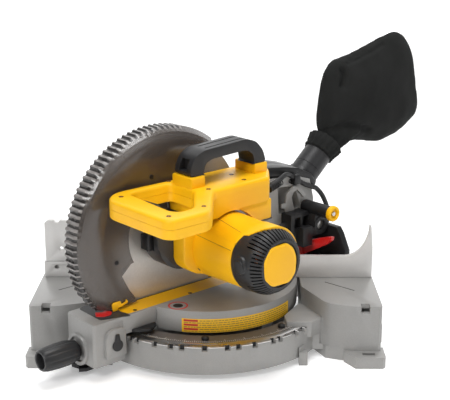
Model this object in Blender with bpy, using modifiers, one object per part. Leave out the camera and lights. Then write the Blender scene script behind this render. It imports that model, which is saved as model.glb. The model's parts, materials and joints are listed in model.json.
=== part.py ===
"""Compound miter saw, 305 mm blade, head mitred to the left and locked down.

Lengths are in millimetres in this file and are turned into metres by MM.
Base frame: X right, Y to the rear, Z up, with the miter axis at X = Y = 0 and the bench at Z = 0.
Turntable frame: the same axes turned with the arm, so the arm points along -Y and the motor along +X.
"""

import math

import bmesh
import bpy
from mathutils import Matrix, Vector

MM = 0.001
GAP = 0.3

# Driving dimensions
MITER_AT_REST = -48.5
MITER_LIMITS = (-50.2, 45.2)
TABLE_Z = 96.0
TABLE_R = 154.0
WALL_R = 206.0
WALL_TOP = 56.0
WING_X = 283.0
FENCE_T = 9.0
FENCE_X = 56.0
FENCE_LOW = 134.4
FENCE_LEFT_TOP = 124.0
HORN_TOP = 189.0
ARM_LEFT, ARM_RIGHT, ARM_END = -28.0, 47.0, 267.0
PLUG_FACE = 56.0
KNOB_X, KNOB_Z = 5.3, 45.0

ARBOR = (-98.0, 203.0)
BLADE_R = 152.4
GUARD_R = 168.0
GUARD_IN = 77.0
GUARD_LEFT, GUARD_RIGHT = -17.0, 18.0
GUARD_FROM, GUARD_TO = -60.0, 127.0
MOTOR = (-47.0, 192.0)
MOTOR_WIDE_R = 57.0
MOTOR_END_R = 53.5
CAP_R = 54.0
BAND_END = 88.0
PIVOT = (176.0, 177.0)
PIN_AT = (170.0, 206.0)
SLEEVE_R = 11.3
BEVEL_LIMIT = 48.0
HANDLE_TOP, HANDLE_SEAM, HANDLE_LOW = 292.0, 277.0, 262.0
TUBE_DIR = Vector((0.0, 0.758, 0.652)).normalized()
TUBE_X = -8.0
TUBE_R = 26.0
CORD_R = 4.2

YELLOW = ("yellow_plastic", (0.95, 0.55, 0.02, 1), 0.4, 0.0)
BLACK = ("black_plastic", (0.025, 0.025, 0.027, 1), 0.5, 0.0)
CAST = ("painted_casting", (0.42, 0.41, 0.39, 1), 0.5, 0.2)
DARK = ("dark_casting", (0.09, 0.09, 0.095, 1), 0.5, 0.2)
STEEL = ("bare_steel", (0.6, 0.6, 0.6, 1), 0.3, 1.0)
SMOKE = ("smoky_plastic", (0.16, 0.13, 0.12, 1), 0.25, 0.0)
RED = ("red_plastic", (0.7, 0.02, 0.02, 1), 0.4, 0.0)
CLOTH = ("black_cloth", (0.02, 0.02, 0.02, 1), 0.9, 0.0)
COPPER = ("copper", (0.6, 0.25, 0.12, 1), 0.4, 1.0)


def clear_scene():
    for obj in list(bpy.data.objects):
        bpy.data.objects.remove(obj, do_unlink=True)


def new_collection(name):
    made = bpy.data.collections.new(name)
    bpy.context.scene.collection.children.link(made)
    return made


clear_scene()
PARTS = new_collection("miter_saw")


# ---------------------------------------------------------------- shapes


def from_bmesh(bm):
    """A new object from a bmesh, with its faces turned outward."""
    bmesh.ops.recalc_face_normals(bm, faces=bm.faces)
    mesh = bpy.data.meshes.new("shape")
    bm.to_mesh(mesh)
    bm.free()
    obj = bpy.data.objects.new("shape", mesh)
    PARTS.objects.link(obj)
    return obj


def evaluated_bmesh(obj):
    bpy.context.view_layer.update()
    graph = bpy.context.evaluated_depsgraph_get()
    mesh = bpy.data.meshes.new_from_object(obj.evaluated_get(graph))
    bm = bmesh.new()
    bm.from_mesh(mesh)
    bpy.data.meshes.remove(mesh)
    return bm


def box(x, y, z, bevel=0.0):
    bm = bmesh.new()
    bmesh.ops.create_cube(bm, size=1.0)
    size = Vector((x[1] - x[0], y[1] - y[0], z[1] - z[0])) * MM
    middle = Vector((x[0] + x[1], y[0] + y[1], z[0] + z[1])) * MM / 2
    bmesh.ops.scale(bm, vec=size, verts=bm.verts)
    bmesh.ops.translate(bm, vec=middle, verts=bm.verts)
    if bevel:
        bmesh.ops.bevel(bm, geom=bm.edges[:], offset=bevel * MM, segments=2, affect="EDGES", profile=0.5)
    return from_bmesh(bm)


def rod(start, end, radius, end_radius=None, sides=32):
    a, b = Vector(start) * MM, Vector(end) * MM
    bm = bmesh.new()
    far = radius if end_radius is None else end_radius
    bmesh.ops.create_cone(
        bm, cap_ends=True, segments=sides, radius1=radius * MM, radius2=far * MM, depth=(b - a).length
    )
    turn = (b - a).to_track_quat("Z", "Y").to_matrix().to_4x4()
    bmesh.ops.transform(bm, matrix=Matrix.Translation((a + b) / 2) @ turn, verts=bm.verts)
    return from_bmesh(bm)


# How an outline's (u, v) and its thickness w become X, Y, Z.
PLAN = Matrix(((1, 0, 0), (0, 1, 0), (0, 0, 1))).to_4x4()
FRONT = Matrix(((1, 0, 0), (0, 0, 1), (0, 1, 0))).to_4x4()
SIDE = Matrix(((0, 0, 1), (1, 0, 0), (0, 1, 0))).to_4x4()


def plate(outline, low, high, view=PLAN):
    """A flat outline with its thickness from low to high."""
    curve = bpy.data.curves.new("outline", "CURVE")
    curve.dimensions = "2D"
    curve.fill_mode = "BOTH"
    curve.extrude = (high - low) * MM / 2
    spline = curve.splines.new("POLY")
    spline.points.add(len(outline) - 1)
    for point, (u, v) in zip(spline.points, outline):
        point.co = (u * MM, v * MM, 0, 1)
    spline.use_cyclic_u = True
    guide = bpy.data.objects.new("outline", curve)
    PARTS.objects.link(guide)
    bm = evaluated_bmesh(guide)
    bpy.data.objects.remove(guide, do_unlink=True)
    bmesh.ops.remove_doubles(bm, verts=bm.verts, dist=0.00001)
    bmesh.ops.translate(bm, vec=(0, 0, (low + high) * MM / 2), verts=bm.verts)
    bmesh.ops.transform(bm, matrix=view, verts=bm.verts)
    return from_bmesh(bm)


def turned(profile, centre, axis, sweep=(0.0, 360.0), steps=48, ring=True):
    """A profile of (radius, height) turned about an axis; height 0 is at centre.

    A ring's profile is closed; otherwise it starts and ends on the axis.
    For the axis along X, an angle of 0 faces -Y and 90 faces up.
    """
    mesh = bpy.data.meshes.new("profile")
    count = len(profile)
    edges = [(i, (i + 1) % count) for i in range(count if ring else count - 1)]
    mesh.from_pydata([(r * MM, 0, h * MM) for r, h in profile], edges, [])
    guide = bpy.data.objects.new("profile", mesh)
    PARTS.objects.link(guide)
    screw = guide.modifiers.new("Screw", "SCREW")
    screw.angle = math.radians(sweep[1] - sweep[0])
    screw.steps = screw.render_steps = steps
    screw.use_merge_vertices = True
    screw.merge_threshold = 0.00001
    bm = evaluated_bmesh(guide)
    bpy.data.objects.remove(guide, do_unlink=True)
    bmesh.ops.remove_doubles(bm, verts=bm.verts, dist=0.00001)
    if sweep[1] - sweep[0] < 359.9:
        ends = [e for e in bm.edges if len(e.link_faces) == 1]
        bmesh.ops.holes_fill(bm, edges=ends, sides=0)
    spin = Matrix.Rotation(math.radians(sweep[0]), 4, "Z")
    if axis == "X":
        turn = Matrix(((0, 0, 1), (-1, 0, 0), (0, 1, 0))).to_4x4()
    else:
        turn = Vector(axis).to_track_quat("Z", "Y").to_matrix().to_4x4()
    place = Matrix.Translation(Vector(centre) * MM)
    bmesh.ops.transform(bm, matrix=place @ turn @ spin, verts=bm.verts)
    return from_bmesh(bm)


def smooth_route(points, spacing):
    """Evenly spaced points on a smooth curve through the given ones."""
    padded = [2 * points[0] - points[1]] + points + [2 * points[-1] - points[-2]]
    fine = []
    for before, start, end, after in zip(padded, padded[1:], padded[2:], padded[3:]):
        for step in range(20):
            t = step / 20
            bend = (2 * start, end - before, 2 * before - 5 * start + 4 * end - after,
                    3 * start - before - 3 * end + after)
            fine.append((bend[0] + bend[1] * t + bend[2] * t * t + bend[3] * t ** 3) / 2)
    fine.append(points[-1])
    length = sum((b - a).length for a, b in zip(fine, fine[1:]))
    count = max(2, round(length / spacing))
    kept, walked, target = [fine[0]], 0.0, length / count
    for a, b in zip(fine, fine[1:]):
        step = (b - a).length
        while walked + step >= target and len(kept) < count:
            kept.append(a.lerp(b, (target - walked) / step))
            target += length / count
        walked += step
    return kept + [fine[-1]]


def tube(points, radius, spacing=20.0, sides=2):
    """A round tube through points given in millimetres."""
    route = smooth_route([Vector(p) for p in points], spacing)
    curve = bpy.data.curves.new("tube", "CURVE")
    curve.dimensions = "3D"
    curve.bevel_depth = radius * MM
    curve.bevel_resolution = sides
    curve.use_fill_caps = True
    spline = curve.splines.new("POLY")
    spline.points.add(len(route) - 1)
    for point, at in zip(spline.points, route):
        point.co = (*(at * MM), 1)
    guide = bpy.data.objects.new("tube", curve)
    PARTS.objects.link(guide)
    bm = evaluated_bmesh(guide)
    bpy.data.objects.remove(guide, do_unlink=True)
    bmesh.ops.remove_doubles(bm, verts=bm.verts, dist=0.00001)
    return from_bmesh(bm)


def combine(target, tools, operation):
    for tool in tools:
        boolean = target.modifiers.new("Boolean", "BOOLEAN")
        boolean.operation = operation
        boolean.solver = "EXACT"
        boolean.object = tool
    bm = evaluated_bmesh(target)
    target.modifiers.clear()
    bm.to_mesh(target.data)
    bm.free()
    for tool in tools:
        bpy.data.objects.remove(tool, do_unlink=True)
    return target


def join(target, *tools):
    return combine(target, tools, "UNION")


def cut(target, *tools):
    return combine(target, tools, "DIFFERENCE")


def arc(centre, radii, start, end, steps):
    """Points on an ellipse; angles in degrees from +u towards +v."""
    angles = [math.radians(start + (end - start) * i / steps) for i in range(steps + 1)]
    return [(centre[0] + radii[0] * math.cos(a), centre[1] + radii[1] * math.sin(a)) for a in angles]


def sector(inner, outer, half_angle, steps=36):
    """A ring sector round the miter axis, facing the front."""
    start, end = -90 - half_angle, -90 + half_angle
    return arc((0, 0), (outer, outer), start, end, steps) + arc((0, 0), (inner, inner), end, start, steps)


def mirrored(outline):
    return [(-u, v) for u, v in outline]


# ---------------------------------------------------------------- frames


class Frame:
    """An empty at a body's joint axis; its parts are modelled in turntable or base axes."""

    def __init__(self, name, parent=None, pivot=(0.0, 0.0, 0.0), turn=0.0):
        self.empty = bpy.data.objects.new(name, None)
        PARTS.objects.link(self.empty)
        self.pivot = Vector(pivot) * MM
        if parent:
            self.empty.parent = parent.empty
            self.empty.location = self.pivot - parent.pivot
        self.empty.rotation_euler.z = math.radians(turn)

    def add(self, obj, name, finish):
        obj.name = obj.data.name = name
        obj.parent = self.empty
        obj.location = -self.pivot
        label, colour, roughness, metallic = finish
        material = bpy.data.materials.get(label) or bpy.data.materials.new(label)
        material.use_nodes = True
        shader = material.node_tree.nodes["Principled BSDF"]
        shader.inputs["Base Color"].default_value = colour
        shader.inputs["Roughness"].default_value = roughness
        shader.inputs["Metallic"].default_value = metallic
        obj.data.materials.clear()
        obj.data.materials.append(material)
        obj.data.shade_smooth()
        obj.data.set_sharp_from_angle(angle=math.radians(35))
        return obj


BASE = Frame("frame_base")
SLIDE = Frame("frame_sliding_fence", BASE)
FENCE_KNOB = Frame("frame_fence_knob", BASE, (-200, 14, 112))
TABLE = Frame("frame_turntable", BASE, (0, 0, 0), MITER_AT_REST)
KNOB = Frame("frame_miter_knob", TABLE, (KNOB_X, -ARM_END, KNOB_Z))
LATCH = Frame("frame_detent_lever", TABLE, (0, -236, 14.5))
PAWL = Frame("frame_detent_pawl", TABLE, (5, -221, 60))
BEVEL_LEVER = Frame("frame_bevel_lever", TABLE, (64, 164, 126))
TRUNNION = Frame("frame_trunnion", TABLE, (0, 176, TABLE_Z))
LOCK_PIN = Frame("frame_lock_pin", TRUNNION, (62.5, *PIN_AT))
HEAD = Frame("frame_head", TRUNNION, (0, *PIVOT))
GUARD = Frame("frame_lower_guard", HEAD, (0, *ARBOR))
SPINDLE = Frame("frame_spindle", HEAD, (0, *ARBOR))
ARMATURE = Frame("frame_armature", HEAD, (0, *MOTOR))
TRIGGER = Frame("frame_trigger", HEAD, (62, -186, 275))
SPINDLE_LOCK = Frame("frame_spindle_lock", HEAD, (34, -151, 203))


# ---------------------------------------------------------------- base

# Wing plan, right side: outer rear corner, round the front to the turntable.
WING = [(WING_X, 46), (WING_X, -128), (279, -133), (236, -131), (195, -117), (159, -42), (158, 20), (170, 46)]
WING_POCKET = [(276, 39), (276, -122), (238, -124), (199, -111), (166, -41), (165, 18), (175, 39)]
FOOT = [(224, -120), (224, -132), (240, -158), (284, -158), (288, -152), (288, -118)]
LEDGE = [(153, -47), (170, -30), (205, -112), (186, -124), (131, -124), (128, -97)]
DETENTS = (0, 10, 15, 22.5, 31.62, 35.3, 45, 50)


def detent_cutters():
    """Trapezoid notches through the detent plate and the top of the wall."""
    tools = []
    for angle in sorted({s * a for a in DETENTS for s in (-1, 1)}):
        notch = plate([(-5.5, -210), (5.5, -210), (3, -199), (-3, -199)], 51, 60)
        notch.data.transform(Matrix.Rotation(math.radians(angle), 4, "Z"))
        tools.append(notch)
    return tools


def make_base():
    pan = rod((0, 0, 10), (0, 0, 18), 150, sides=64)
    wall = plate(sector(199, WALL_R, 60), 12, WALL_TOP)
    shelf = plate(sector(160, WALL_R - 1, 60), 48, 55.9)
    floor = plate(sector(140, WALL_R - 2, 60), 12.5, 17)
    cross = box((-175, 175), (-60, 30), (11, 16))
    hub = rod((0, 0, 15), (0, 0, 24), 30)
    base = join(pan, wall, shelf, floor, cross, hub)
    for side in (1, -1):
        flip = (lambda o: o) if side > 0 else mirrored
        wing = plate(flip(WING), 0, TABLE_Z)
        wing = cut(wing, plate(flip(WING_POCKET), -5, 88))
        foot = plate(flip(FOOT), 0, 19)
        ledge = plate(flip(LEDGE), 40, 65.6)
        xs = sorted((side * (WING_X - 4), side * 288))
        bulge = box(xs, (-104, -20), (20, 54), bevel=1.5)
        xs = sorted((side * 150, side * 164))
        leg = box(xs, (-146, -134), (0, 30))
        xs = sorted((side * 155, side * 200))
        tie = box(xs, (-110, -60), (12, 40))
        xs = sorted((side * 205, side * 279))
        rear_foot = box(xs, (14, 43), (0, 10))
        base = join(base, wing, foot, ledge, bulge, leg, tie, rear_foot)
        xs = sorted((side * 249, side * 263))
        notch = box(xs, (-136, -119), (84, 99))
        xs = sorted((side * 252, side * 272))
        slot = box(xs, (-148, -139), (-2, 25))
        base = cut(base, notch, slot)
        # Room for the arm's front block and the pawl at the end of the miter range.
        angle, reach = (MITER_LIMITS[1], PLUG_FACE) if side > 0 else (MITER_LIMITS[0], -ARM_LEFT)
        block_room = box(sorted((-side * 140, side * (reach + 1.2))), (-300, -208.5), (22, 100))
        pawl_room = box((-12, 16), (-300, -199), (58.4, 100))
        for tool in (block_room, pawl_room):
            tool.data.transform(Matrix.Rotation(math.radians(angle), 4, "Z"))
        base = cut(base, block_room, pawl_room)
    room = rod((0, 0, 58), (0, 0, 120), TABLE_R + 1.5, sides=96)
    bolt_hole = rod((0, 0, 5), (0, 0, 30), 5.2, sides=20)
    base = cut(base, room, bolt_hole, *detent_cutters())
    BASE.add(base, "base_casting", CAST)


def make_scale():
    """The notched detent plate, the scale on it, and the two screws that hold them."""
    steel = plate(sector(188, WALL_R - 0.4, 56, 48), WALL_TOP + GAP, 58)
    keep_off = [box(sorted((s * 126, s * 220)), (-124.5, 0), (50, 70)) for s in (1, -1)]
    steel = cut(steel, *keep_off, *detent_cutters())
    BASE.add(steel, "detent_plate", STEEL)
    scale = plate(sector(161, 187.5, 54, 48), WALL_TOP + GAP, 58.2)
    keep_off = [box(sorted((s * 126, s * 220)), (-124.5, 0), (50, 70)) for s in (1, -1)]
    scale = cut(scale, *keep_off)
    for name, angle in (("scale_screw_left", 0.1), ("scale_screw_right", 43.9)):
        x = 176 * math.sin(math.radians(angle))
        y = -176 * math.cos(math.radians(angle))
        scale = cut(scale, rod((x, y, 50), (x, y, 62), 2.6, sides=16))
        screw = turned([(0, 64.5), (3, 64.5), (6, 62.5), (6, 58.5), (2.2, 58.5), (2.2, 56.3), (0, 56.3)],
                       (x, y, 0), (0, 0, 1), steps=20, ring=False)
        BASE.add(screw, name, BLACK)
    BASE.add(scale, "miter_scale", DARK)


def make_pivot_bolt():
    bolt = rod((0, 0, 12), (0, 0, 64), 4.8, sides=20)
    head = rod((0, 0, 60.6), (0, 0, 66), 9, sides=6)
    nut = rod((0, 0, 2), (0, 0, 9.6), 9, sides=6)
    bolt = join(bolt, head)
    nut_stem = rod((0, 0, 5), (0, 0, 13), 4.8, sides=20)
    BASE.add(join(bolt, nut_stem, nut), "pivot_bolt", STEEL)


def make_fences():
    z0 = TABLE_Z + GAP
    horn = arc((235, 190), (41, 190 - FENCE_LOW), -90, 0, 14)
    right = [(FENCE_X, z0), (WING_X - 1, z0), (WING_X - 1, 150), (279, 186), (278, HORN_TOP)]
    right += list(reversed(horn)) + [(200, FENCE_LOW), (FENCE_X, FENCE_LOW)]
    left = [(-56, z0), (-106, FENCE_LEFT_TOP), (-279, FENCE_LEFT_TOP), (-279, z0)]
    fence = plate(right, 0, FENCE_T, FRONT)
    foot = plate([(60, 4), (124, 4), (124, 40), (-124, 40), (-124, 4), (-66, 4), (-66, 26), (60, 26)], z0, 101)
    ribs = [box((x, x + 7), (6, 34), (z0 + 0.8, 118)) for x in (130, 190)]
    ribs.append(box((262, 269), (6, 14), (z0 + 0.8, 118)))
    fence = join(fence, foot, plate(left, 0, FENCE_T, FRONT), *ribs)
    hole = rod((-258, -2, 114), (-258, 12, 114), 4, sides=20)
    stud_hole = rod((-200, -2, 112), (-200, 12, 112), 4, sides=20)
    BASE.add(cut(fence, hole, stud_hole), "fence_casting", CAST)

    seam = FENCE_LEFT_TOP + GAP + 0.4
    outline = [(-110, seam), (-232, 197), (-250, 198), (-252, 194), (-258, 194), (-260, 198), (-270, 198),
               (-276, 193), (-276, seam)]
    upper = plate(outline, 0, FENCE_T - 1, FRONT)
    tongue = box((-272, -104), (FENCE_T + 0.4, 13), (103, 123))
    web = box((-272, -162), (FENCE_T + 0.4, 13), (110, 150))
    pad = box((-270, -164), (6, 12.5), (seam + 1, 149))
    sliding = join(upper, tongue, web, pad)
    hole = rod((-249, -2, 147), (-249, 20, 147), 4, sides=20)
    slot = box((-205, -108), (8, 15), (107.8, 116.2))
    SLIDE.add(cut(sliding, hole, slot), "sliding_fence", CAST)

    knob = turned([(0, 38), (8, 38), (12, 34), (12, 22), (8, 16), (3.6, 16), (3.6, 2), (0, 2)],
                  (-200, 0, 112), (0, 1, 0), steps=20, ring=False)
    FENCE_KNOB.add(knob, "fence_clamp_knob", BLACK)


# ---------------------------------------------------------------- turntable


def make_turntable():
    disc = rod((0, 0, 60), (0, 0, TABLE_Z), TABLE_R, sides=96)
    disc = cut(disc, rod((0, 0, 50), (0, 0, 88), TABLE_R - 8, sides=64))
    bar = plate([(ARM_LEFT, -140), (ARM_LEFT, -262), (-24, -ARM_END), (43, -ARM_END), (ARM_RIGHT, -263),
                 (ARM_RIGHT, -140)], 66, TABLE_Z - 0.1)
    bar = cut(bar, box((-22, 41), (-203, -149), (60, 88)))
    nose = plate([(ARM_LEFT, -209.5), (ARM_LEFT, -262), (-24, -ARM_END), (43, -ARM_END), (ARM_RIGHT, -263),
                  (ARM_RIGHT, -209.5)], 24, 90)
    boss = plate([(-248, 36), (-248, 68), (-244, 78), (-236, 82), (-218, 82), (-211, 76), (-211, 36)],
                 ARM_RIGHT - 3, 53, SIDE)
    collar = turned([(20.5, 266), (26, 266), (26, 272), (20.5, 272)], (KNOB_X, 0, KNOB_Z), (0, -1, 0), steps=32)
    hub = rod((0, 0, 24.4), (0, 0, 60), 26, sides=40)
    ribs = [box((-151, -10), (-12, 12), (50, 62)), box((10, 151), (-12, 12), (50, 62)),
            box((-12, 12), (10, 151), (50, 62))]
    tail = box((-50, 50), (146, 195.6), (30, 68))
    tail_web = box((-50, 50), (140, 152), (40, 92))
    table = join(disc, bar, nose, boss, collar, hub, *ribs, tail, tail_web)
    pocket = box((-22, 41), (-262, -214), (10, 88))
    tail_pocket = box((-44, 44), (154, 190), (20, 62))
    rod_hole = rod((KNOB_X, -200, KNOB_Z), (KNOB_X, -290, KNOB_Z), 5.6, sides=20)
    hub_hole = rod((0, 0, 10), (0, 0, 80), 5.2, sides=20)
    slot = box((-5, 6), (-212, 30), (80, 99))
    bevel_room = box((-6, 15), (-212, 30), (63, 93.6))
    tunnel = box((-8, 47.5), (-203, -30), (46, 88))
    pawl_slot = box((-0.5, 8.5), (-216, -190), (40, 78))
    recess = plate([(-22.6, 30), (-22.6, -200), (-16, -207), (36, -207), (41.6, -200), (41.6, 30)], 93.7, 99)
    table = cut(table, pocket, tail_pocket, rod_hole, hub_hole, slot, bevel_room, tunnel, recess, pawl_slot)
    TABLE.add(table, "turntable", CAST)


def make_kerf_plates():
    right = plate([(4.6, 29.6), (4.6, -199), (35, -199), (41.2, -192), (41.2, 29.6)], 94, TABLE_Z - 0.1)
    TABLE.add(right, "kerf_plate_right", YELLOW)
    left = plate([(-3.4, 29.6), (-3.4, -199), (-16, -199), (-22.2, -192), (-22.2, 29.6)], 94, TABLE_Z - 0.1)
    TABLE.add(left, "kerf_plate_left", YELLOW)


def make_arm_fittings():
    pointer = plate([(47.4, -150), (54, -152), (62, -164), (66, -172), (58, -188), (47.4, -196)], 66.4, 71)
    TABLE.add(pointer, "miter_pointer", BLACK)
    pear = arc((-228, 55), (9.5, 9.5), -240, 60, 16) + [(-225, 74), (-231, 74)]
    TABLE.add(plate(pear, 53.3, PLUG_FACE, SIDE), "side_plug", BLACK)

    knob = [(0, 0.5), (15, 0.5), (16.5, 6), (19.5, 14), (20, 40), (18.5, 60), (16, 66), (12, 66), (12, 56), (0, 56)]
    knob = turned(knob, (KNOB_X, -ARM_END - 5, KNOB_Z), (0, -1, 0), steps=32, ring=False)
    knob = cut(knob, rod((KNOB_X, -265, KNOB_Z), (KNOB_X, -288, KNOB_Z), 5.3, sides=20))
    KNOB.add(knob, "miter_lock_knob", BLACK)
    shaft = rod((KNOB_X, -208, KNOB_Z), (KNOB_X, -287, KNOB_Z), 5, sides=20)
    KNOB.add(shaft, "miter_lock_rod", STEEL)

    lever = plate([(-15, -232), (-15, -264), (-12, -272), (2, -268), (12, -274), (18, -264), (18, -232)], 9, 15)
    hinge = rod((-16, -236, 14.5), (19, -236, 14.5), 5, sides=16)
    LATCH.add(join(lever, hinge), "detent_lever", BLACK)
    pawl = plate([(-3, -226), (-3, -217), (1, -215), (1, -201), (7, -201), (7, -215), (11, -217), (11, -226)],
                 58.6, 74)
    PAWL.add(pawl, "detent_pawl", STEEL)


def make_bevel_bracket():
    outline = [(-54, 30), (-56, 98), (-20, 118), (45, 120), (58, 150), (66, 172), (116, 172), (124, 162),
               (138, 134), (138, 104), (100, 99), (80, 30)]
    bracket = plate(outline, 196, 208, FRONT)
    windows = [plate([(74, 80), (118, 84), (112, 126), (80, 118)], 190, 199.5, FRONT)]
    hole = rod((0, 190, TABLE_Z), (0, 215, TABLE_Z), 8.4, sides=24)
    gland_hole = rod((60, 190, 86), (60, 215, 86), 3, sides=12)
    TABLE.add(cut(bracket, *windows, hole, gland_hole), "bevel_bracket", BLACK)
    bolt = rod((0, 154, TABLE_Z), (0, 212, TABLE_Z), 8, sides=24)
    head = rod((0, 208.4, TABLE_Z), (0, 216, TABLE_Z), 14, sides=6)
    TABLE.add(join(bolt, head), "bevel_pivot_bolt", STEEL)
    gland = turned([(4.6, 0), (9, 0), (9, 10), (7, 14), (4.6, 14)], (60, 222, 79), (0, 0, 1), steps=20)
    foot = box((52, 68), (208.4, 216), (79, 93))
    gland = join(gland, foot)
    TABLE.add(cut(gland, rod((60, 222, 70), (60, 222, 100), 4.6, sides=20)), "cord_gland", BLACK)

    lever = plate([(57, 137), (57, 126), (70, 119), (102, 137), (124, 150), (137, 161), (138, 167), (130, 166),
                   (100, 155), (74, 144)], 160, 168, FRONT)
    boss = rod((64, 158, 126), (64, 172, 126), 9.5, sides=24)
    stud = rod((64, 170, 126), (64, 195.6, 126), 4, sides=16)
    BEVEL_LEVER.add(join(lever, boss, stud), "bevel_clamp_lever", RED)


# ---------------------------------------------------------------- trunnion


def make_trunnion():
    hub = rod((0, 154, TABLE_Z), (0, 195, TABLE_Z), 24, sides=40)
    upright = box((-15, 44), (155, 194), (100, 153))
    block = box((-14, 100), (131, 153), (146, 180))
    block_foot = box((-13, 42), (140, 160), (118, 152))
    left_ear = box((-13, 18.5), (150, 193), (148, 177))
    left_boss = rod((-14, *PIVOT), (17.5, *PIVOT), 18, sides=40)
    right_ear = box((59.5, 99), (148, 180), (161, 176))
    right_boss = rod((60.5, *PIVOT), (99.5, *PIVOT), 16.5, sides=40)
    side_block = box((60.2, 84), (117, 162), (150, 202))
    sleeve_foot = box((63, 98), (161, 179), (170, 204))
    trunnion = join(hub, upright, block, block_foot, left_ear, left_boss, right_ear, right_boss, side_block,
                    sleeve_foot)
    pockets = [box((74, 90), (y, y + 14), (176, 195)) for y in (126, 145)]
    bolt_hole = rod((0, 150, TABLE_Z), (0, 200, TABLE_Z), 8.4, sides=24)
    bore = rod((-20, *PIVOT), (110, *PIVOT), 9.3, sides=28)
    arm_room = rod((18.4, *PIVOT), (59.6, *PIVOT), 24, sides=48)
    sleeve_room = rod((58, *PIN_AT), (140, *PIN_AT), SLEEVE_R + GAP, sides=40)
    TRUNNION.add(cut(trunnion, *pockets, bolt_hole, bore, arm_room, sleeve_room), "trunnion", BLACK)
    shaft = rod((-13, *PIVOT), (94, *PIVOT), 9, sides=28)
    TRUNNION.add(shaft, "pivot_shaft", STEEL)

    along = Vector((1, 0, 0))
    start = Vector((62.5, *PIN_AT))
    sleeve = turned([(4.4, 0), (10, 0), (SLEEVE_R, 3), (SLEEVE_R, 62), (4.4, 62)], start, along, steps=28)
    TRUNNION.add(sleeve, "lock_pin_sleeve", BLACK)
    pin = rod(start - along * 1.5, start + along * 71, 4, sides=20)
    LOCK_PIN.add(pin, "lock_pin", STEEL)
    ring = turned([(4.2, 63), (12, 63), (13.5, 65), (13.5, 71), (12, 73), (8.5, 73), (7.5, 68), (4.2, 67)],
                  start, along, steps=28)
    LOCK_PIN.add(ring, "lock_pin_knob", YELLOW)


# ---------------------------------------------------------------- head


def make_arm():
    outline = [(-7, 156), (-7, 250), (60, 268), (150, 262), (186, 250), (196, 215), (196, 190), (176, 172),
               (160, 184), (120, 184), (60, 168)]
    arm = plate(outline, 19, 59, SIDE)
    # The outline's first coordinate is Y, rearward.
    arm = cut(arm, box((12, 70), (-8, 6.4), (140, 270)))
    boss = rod((19, *PIVOT), (59, *PIVOT), 21, sides=40)
    pad = box((14.2, 22), (8, 34), (226, 256))
    arm = join(arm, boss, pad)
    pocket_front = plate([(40, 190), (40, 245), (84, 248), (96, 196)], 40, 62, SIDE)
    pocket_rear = plate([(112, 200), (108, 248), (150, 244), (164, 204)], 40, 62, SIDE)
    bore = rod((10, *PIVOT), (70, *PIVOT), 9.3, sides=28)
    spring_room = rod((30, *PIVOT), (48, *PIVOT), 16.5, sides=28)
    HEAD.add(cut(arm, pocket_front, pocket_rear, bore, spring_room), "saw_arm", CAST)
    turns, per_turn = 4, 12
    coil = []
    for i in range(turns * per_turn + 1):
        angle = 2 * math.pi * i / per_turn
        coil.append(Vector((32.5 + 13 * i / (turns * per_turn), PIVOT[0] + 12.8 * math.cos(angle),
                            PIVOT[1] + 12.8 * math.sin(angle))))
    HEAD.add(tube(coil, 1.3, spacing=7, sides=0), "return_spring", STEEL)


def make_guards():
    upper = [(100, -12), (160.8, -12), (160.8, 14), (100, 14), (100, 12), (155, 12), (155, -10), (100, -10)]
    upper = turned(upper, (0, *ARBOR), "X", sweep=(60, 205), steps=36)
    HEAD.add(upper, "upper_guard", CAST)

    wall = 2.0
    section = [(GUARD_IN, GUARD_LEFT), (GUARD_R, GUARD_LEFT), (GUARD_R, GUARD_RIGHT), (GUARD_IN, GUARD_RIGHT),
               (GUARD_IN, GUARD_RIGHT - wall), (GUARD_R - 4, GUARD_RIGHT - wall), (GUARD_R - 4, GUARD_LEFT + wall),
               (GUARD_IN, GUARD_LEFT + wall)]
    guard = turned(section, (0, *ARBOR), "X", sweep=(GUARD_FROM, GUARD_TO), steps=50)
    ring = turned([(20.6, 14.5), (28, 14.5), (28, 18), (20.6, 18)], (0, *ARBOR), "X", steps=32)
    spoke = turned([(25, 16), (GUARD_IN + 5, 16), (GUARD_IN + 5, 18), (25, 18)], (0, *ARBOR), "X",
                   sweep=(92, 124), steps=8)
    guard = join(guard, ring, spoke)
    # Below the hub the wall is only an outer strip.
    notch = [(-172, 166), (-190, 149), (-183, 135), (-176, 122), (-165, 107), (-158, 88), (-90, 88), (-110, 140),
             (-140, 172)]
    guard = cut(guard, plate(notch, GUARD_LEFT - 1, GUARD_RIGHT + 1, SIDE))
    # Room for the table when the head leans over to the full bevel.
    lean = box((-400, 400), (-400, 200), (-200, 7))
    lean.data.transform(Matrix.Rotation(math.radians(BEVEL_LIMIT), 4, "Y"))
    lean.data.transform(Matrix.Translation((0, 0, TABLE_Z * MM)))
    flat = box((-40, 40), (-400, 200), (0, TABLE_Z + 4))
    GUARD.add(cut(guard, lean, flat), "lower_guard", SMOKE)


def case_outline():
    """Side outline round the motor and the arbor with a flat rear, as (Y, Z)."""
    front = [(y, min(z, 245.5)) for y, z in arc(ARBOR, (50, 50), 110, 270, 24)]
    return [(6, 148), (6, 238), (-47, 243)] + front


def make_gear_case():
    case = plate(case_outline(), 20, 60, SIDE)
    inner_arbor = rod((25, *ARBOR), (62, *ARBOR), 40, sides=40)
    inner_motor = rod((25, *MOTOR), (62, *MOTOR), 41, sides=40)
    nose = rod((9.4, *ARBOR), (22, *ARBOR), 20, sides=32)
    bore = rod((5, *ARBOR), (30, *ARBOR), 12.9, sides=28)
    case = join(case, nose)
    button_pocket = box((23, 45), (-156, -143), (189, 217))
    HEAD.add(cut(case, inner_arbor, inner_motor, bore, button_pocket), "gear_case", DARK)


# The yellow band round the gear case, as (Y, Z).
BAND = [(-120, 222), (-120, 174), (-114, 163), (-98, 151), (-76, 144.5), (-52, 142.6), (-26, 143.2), (-10, 149),
        (2, 166), (4, 186), (-2, 212), (-14, 228), (-36, 242), (-84, 243), (-108, 238)]


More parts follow.
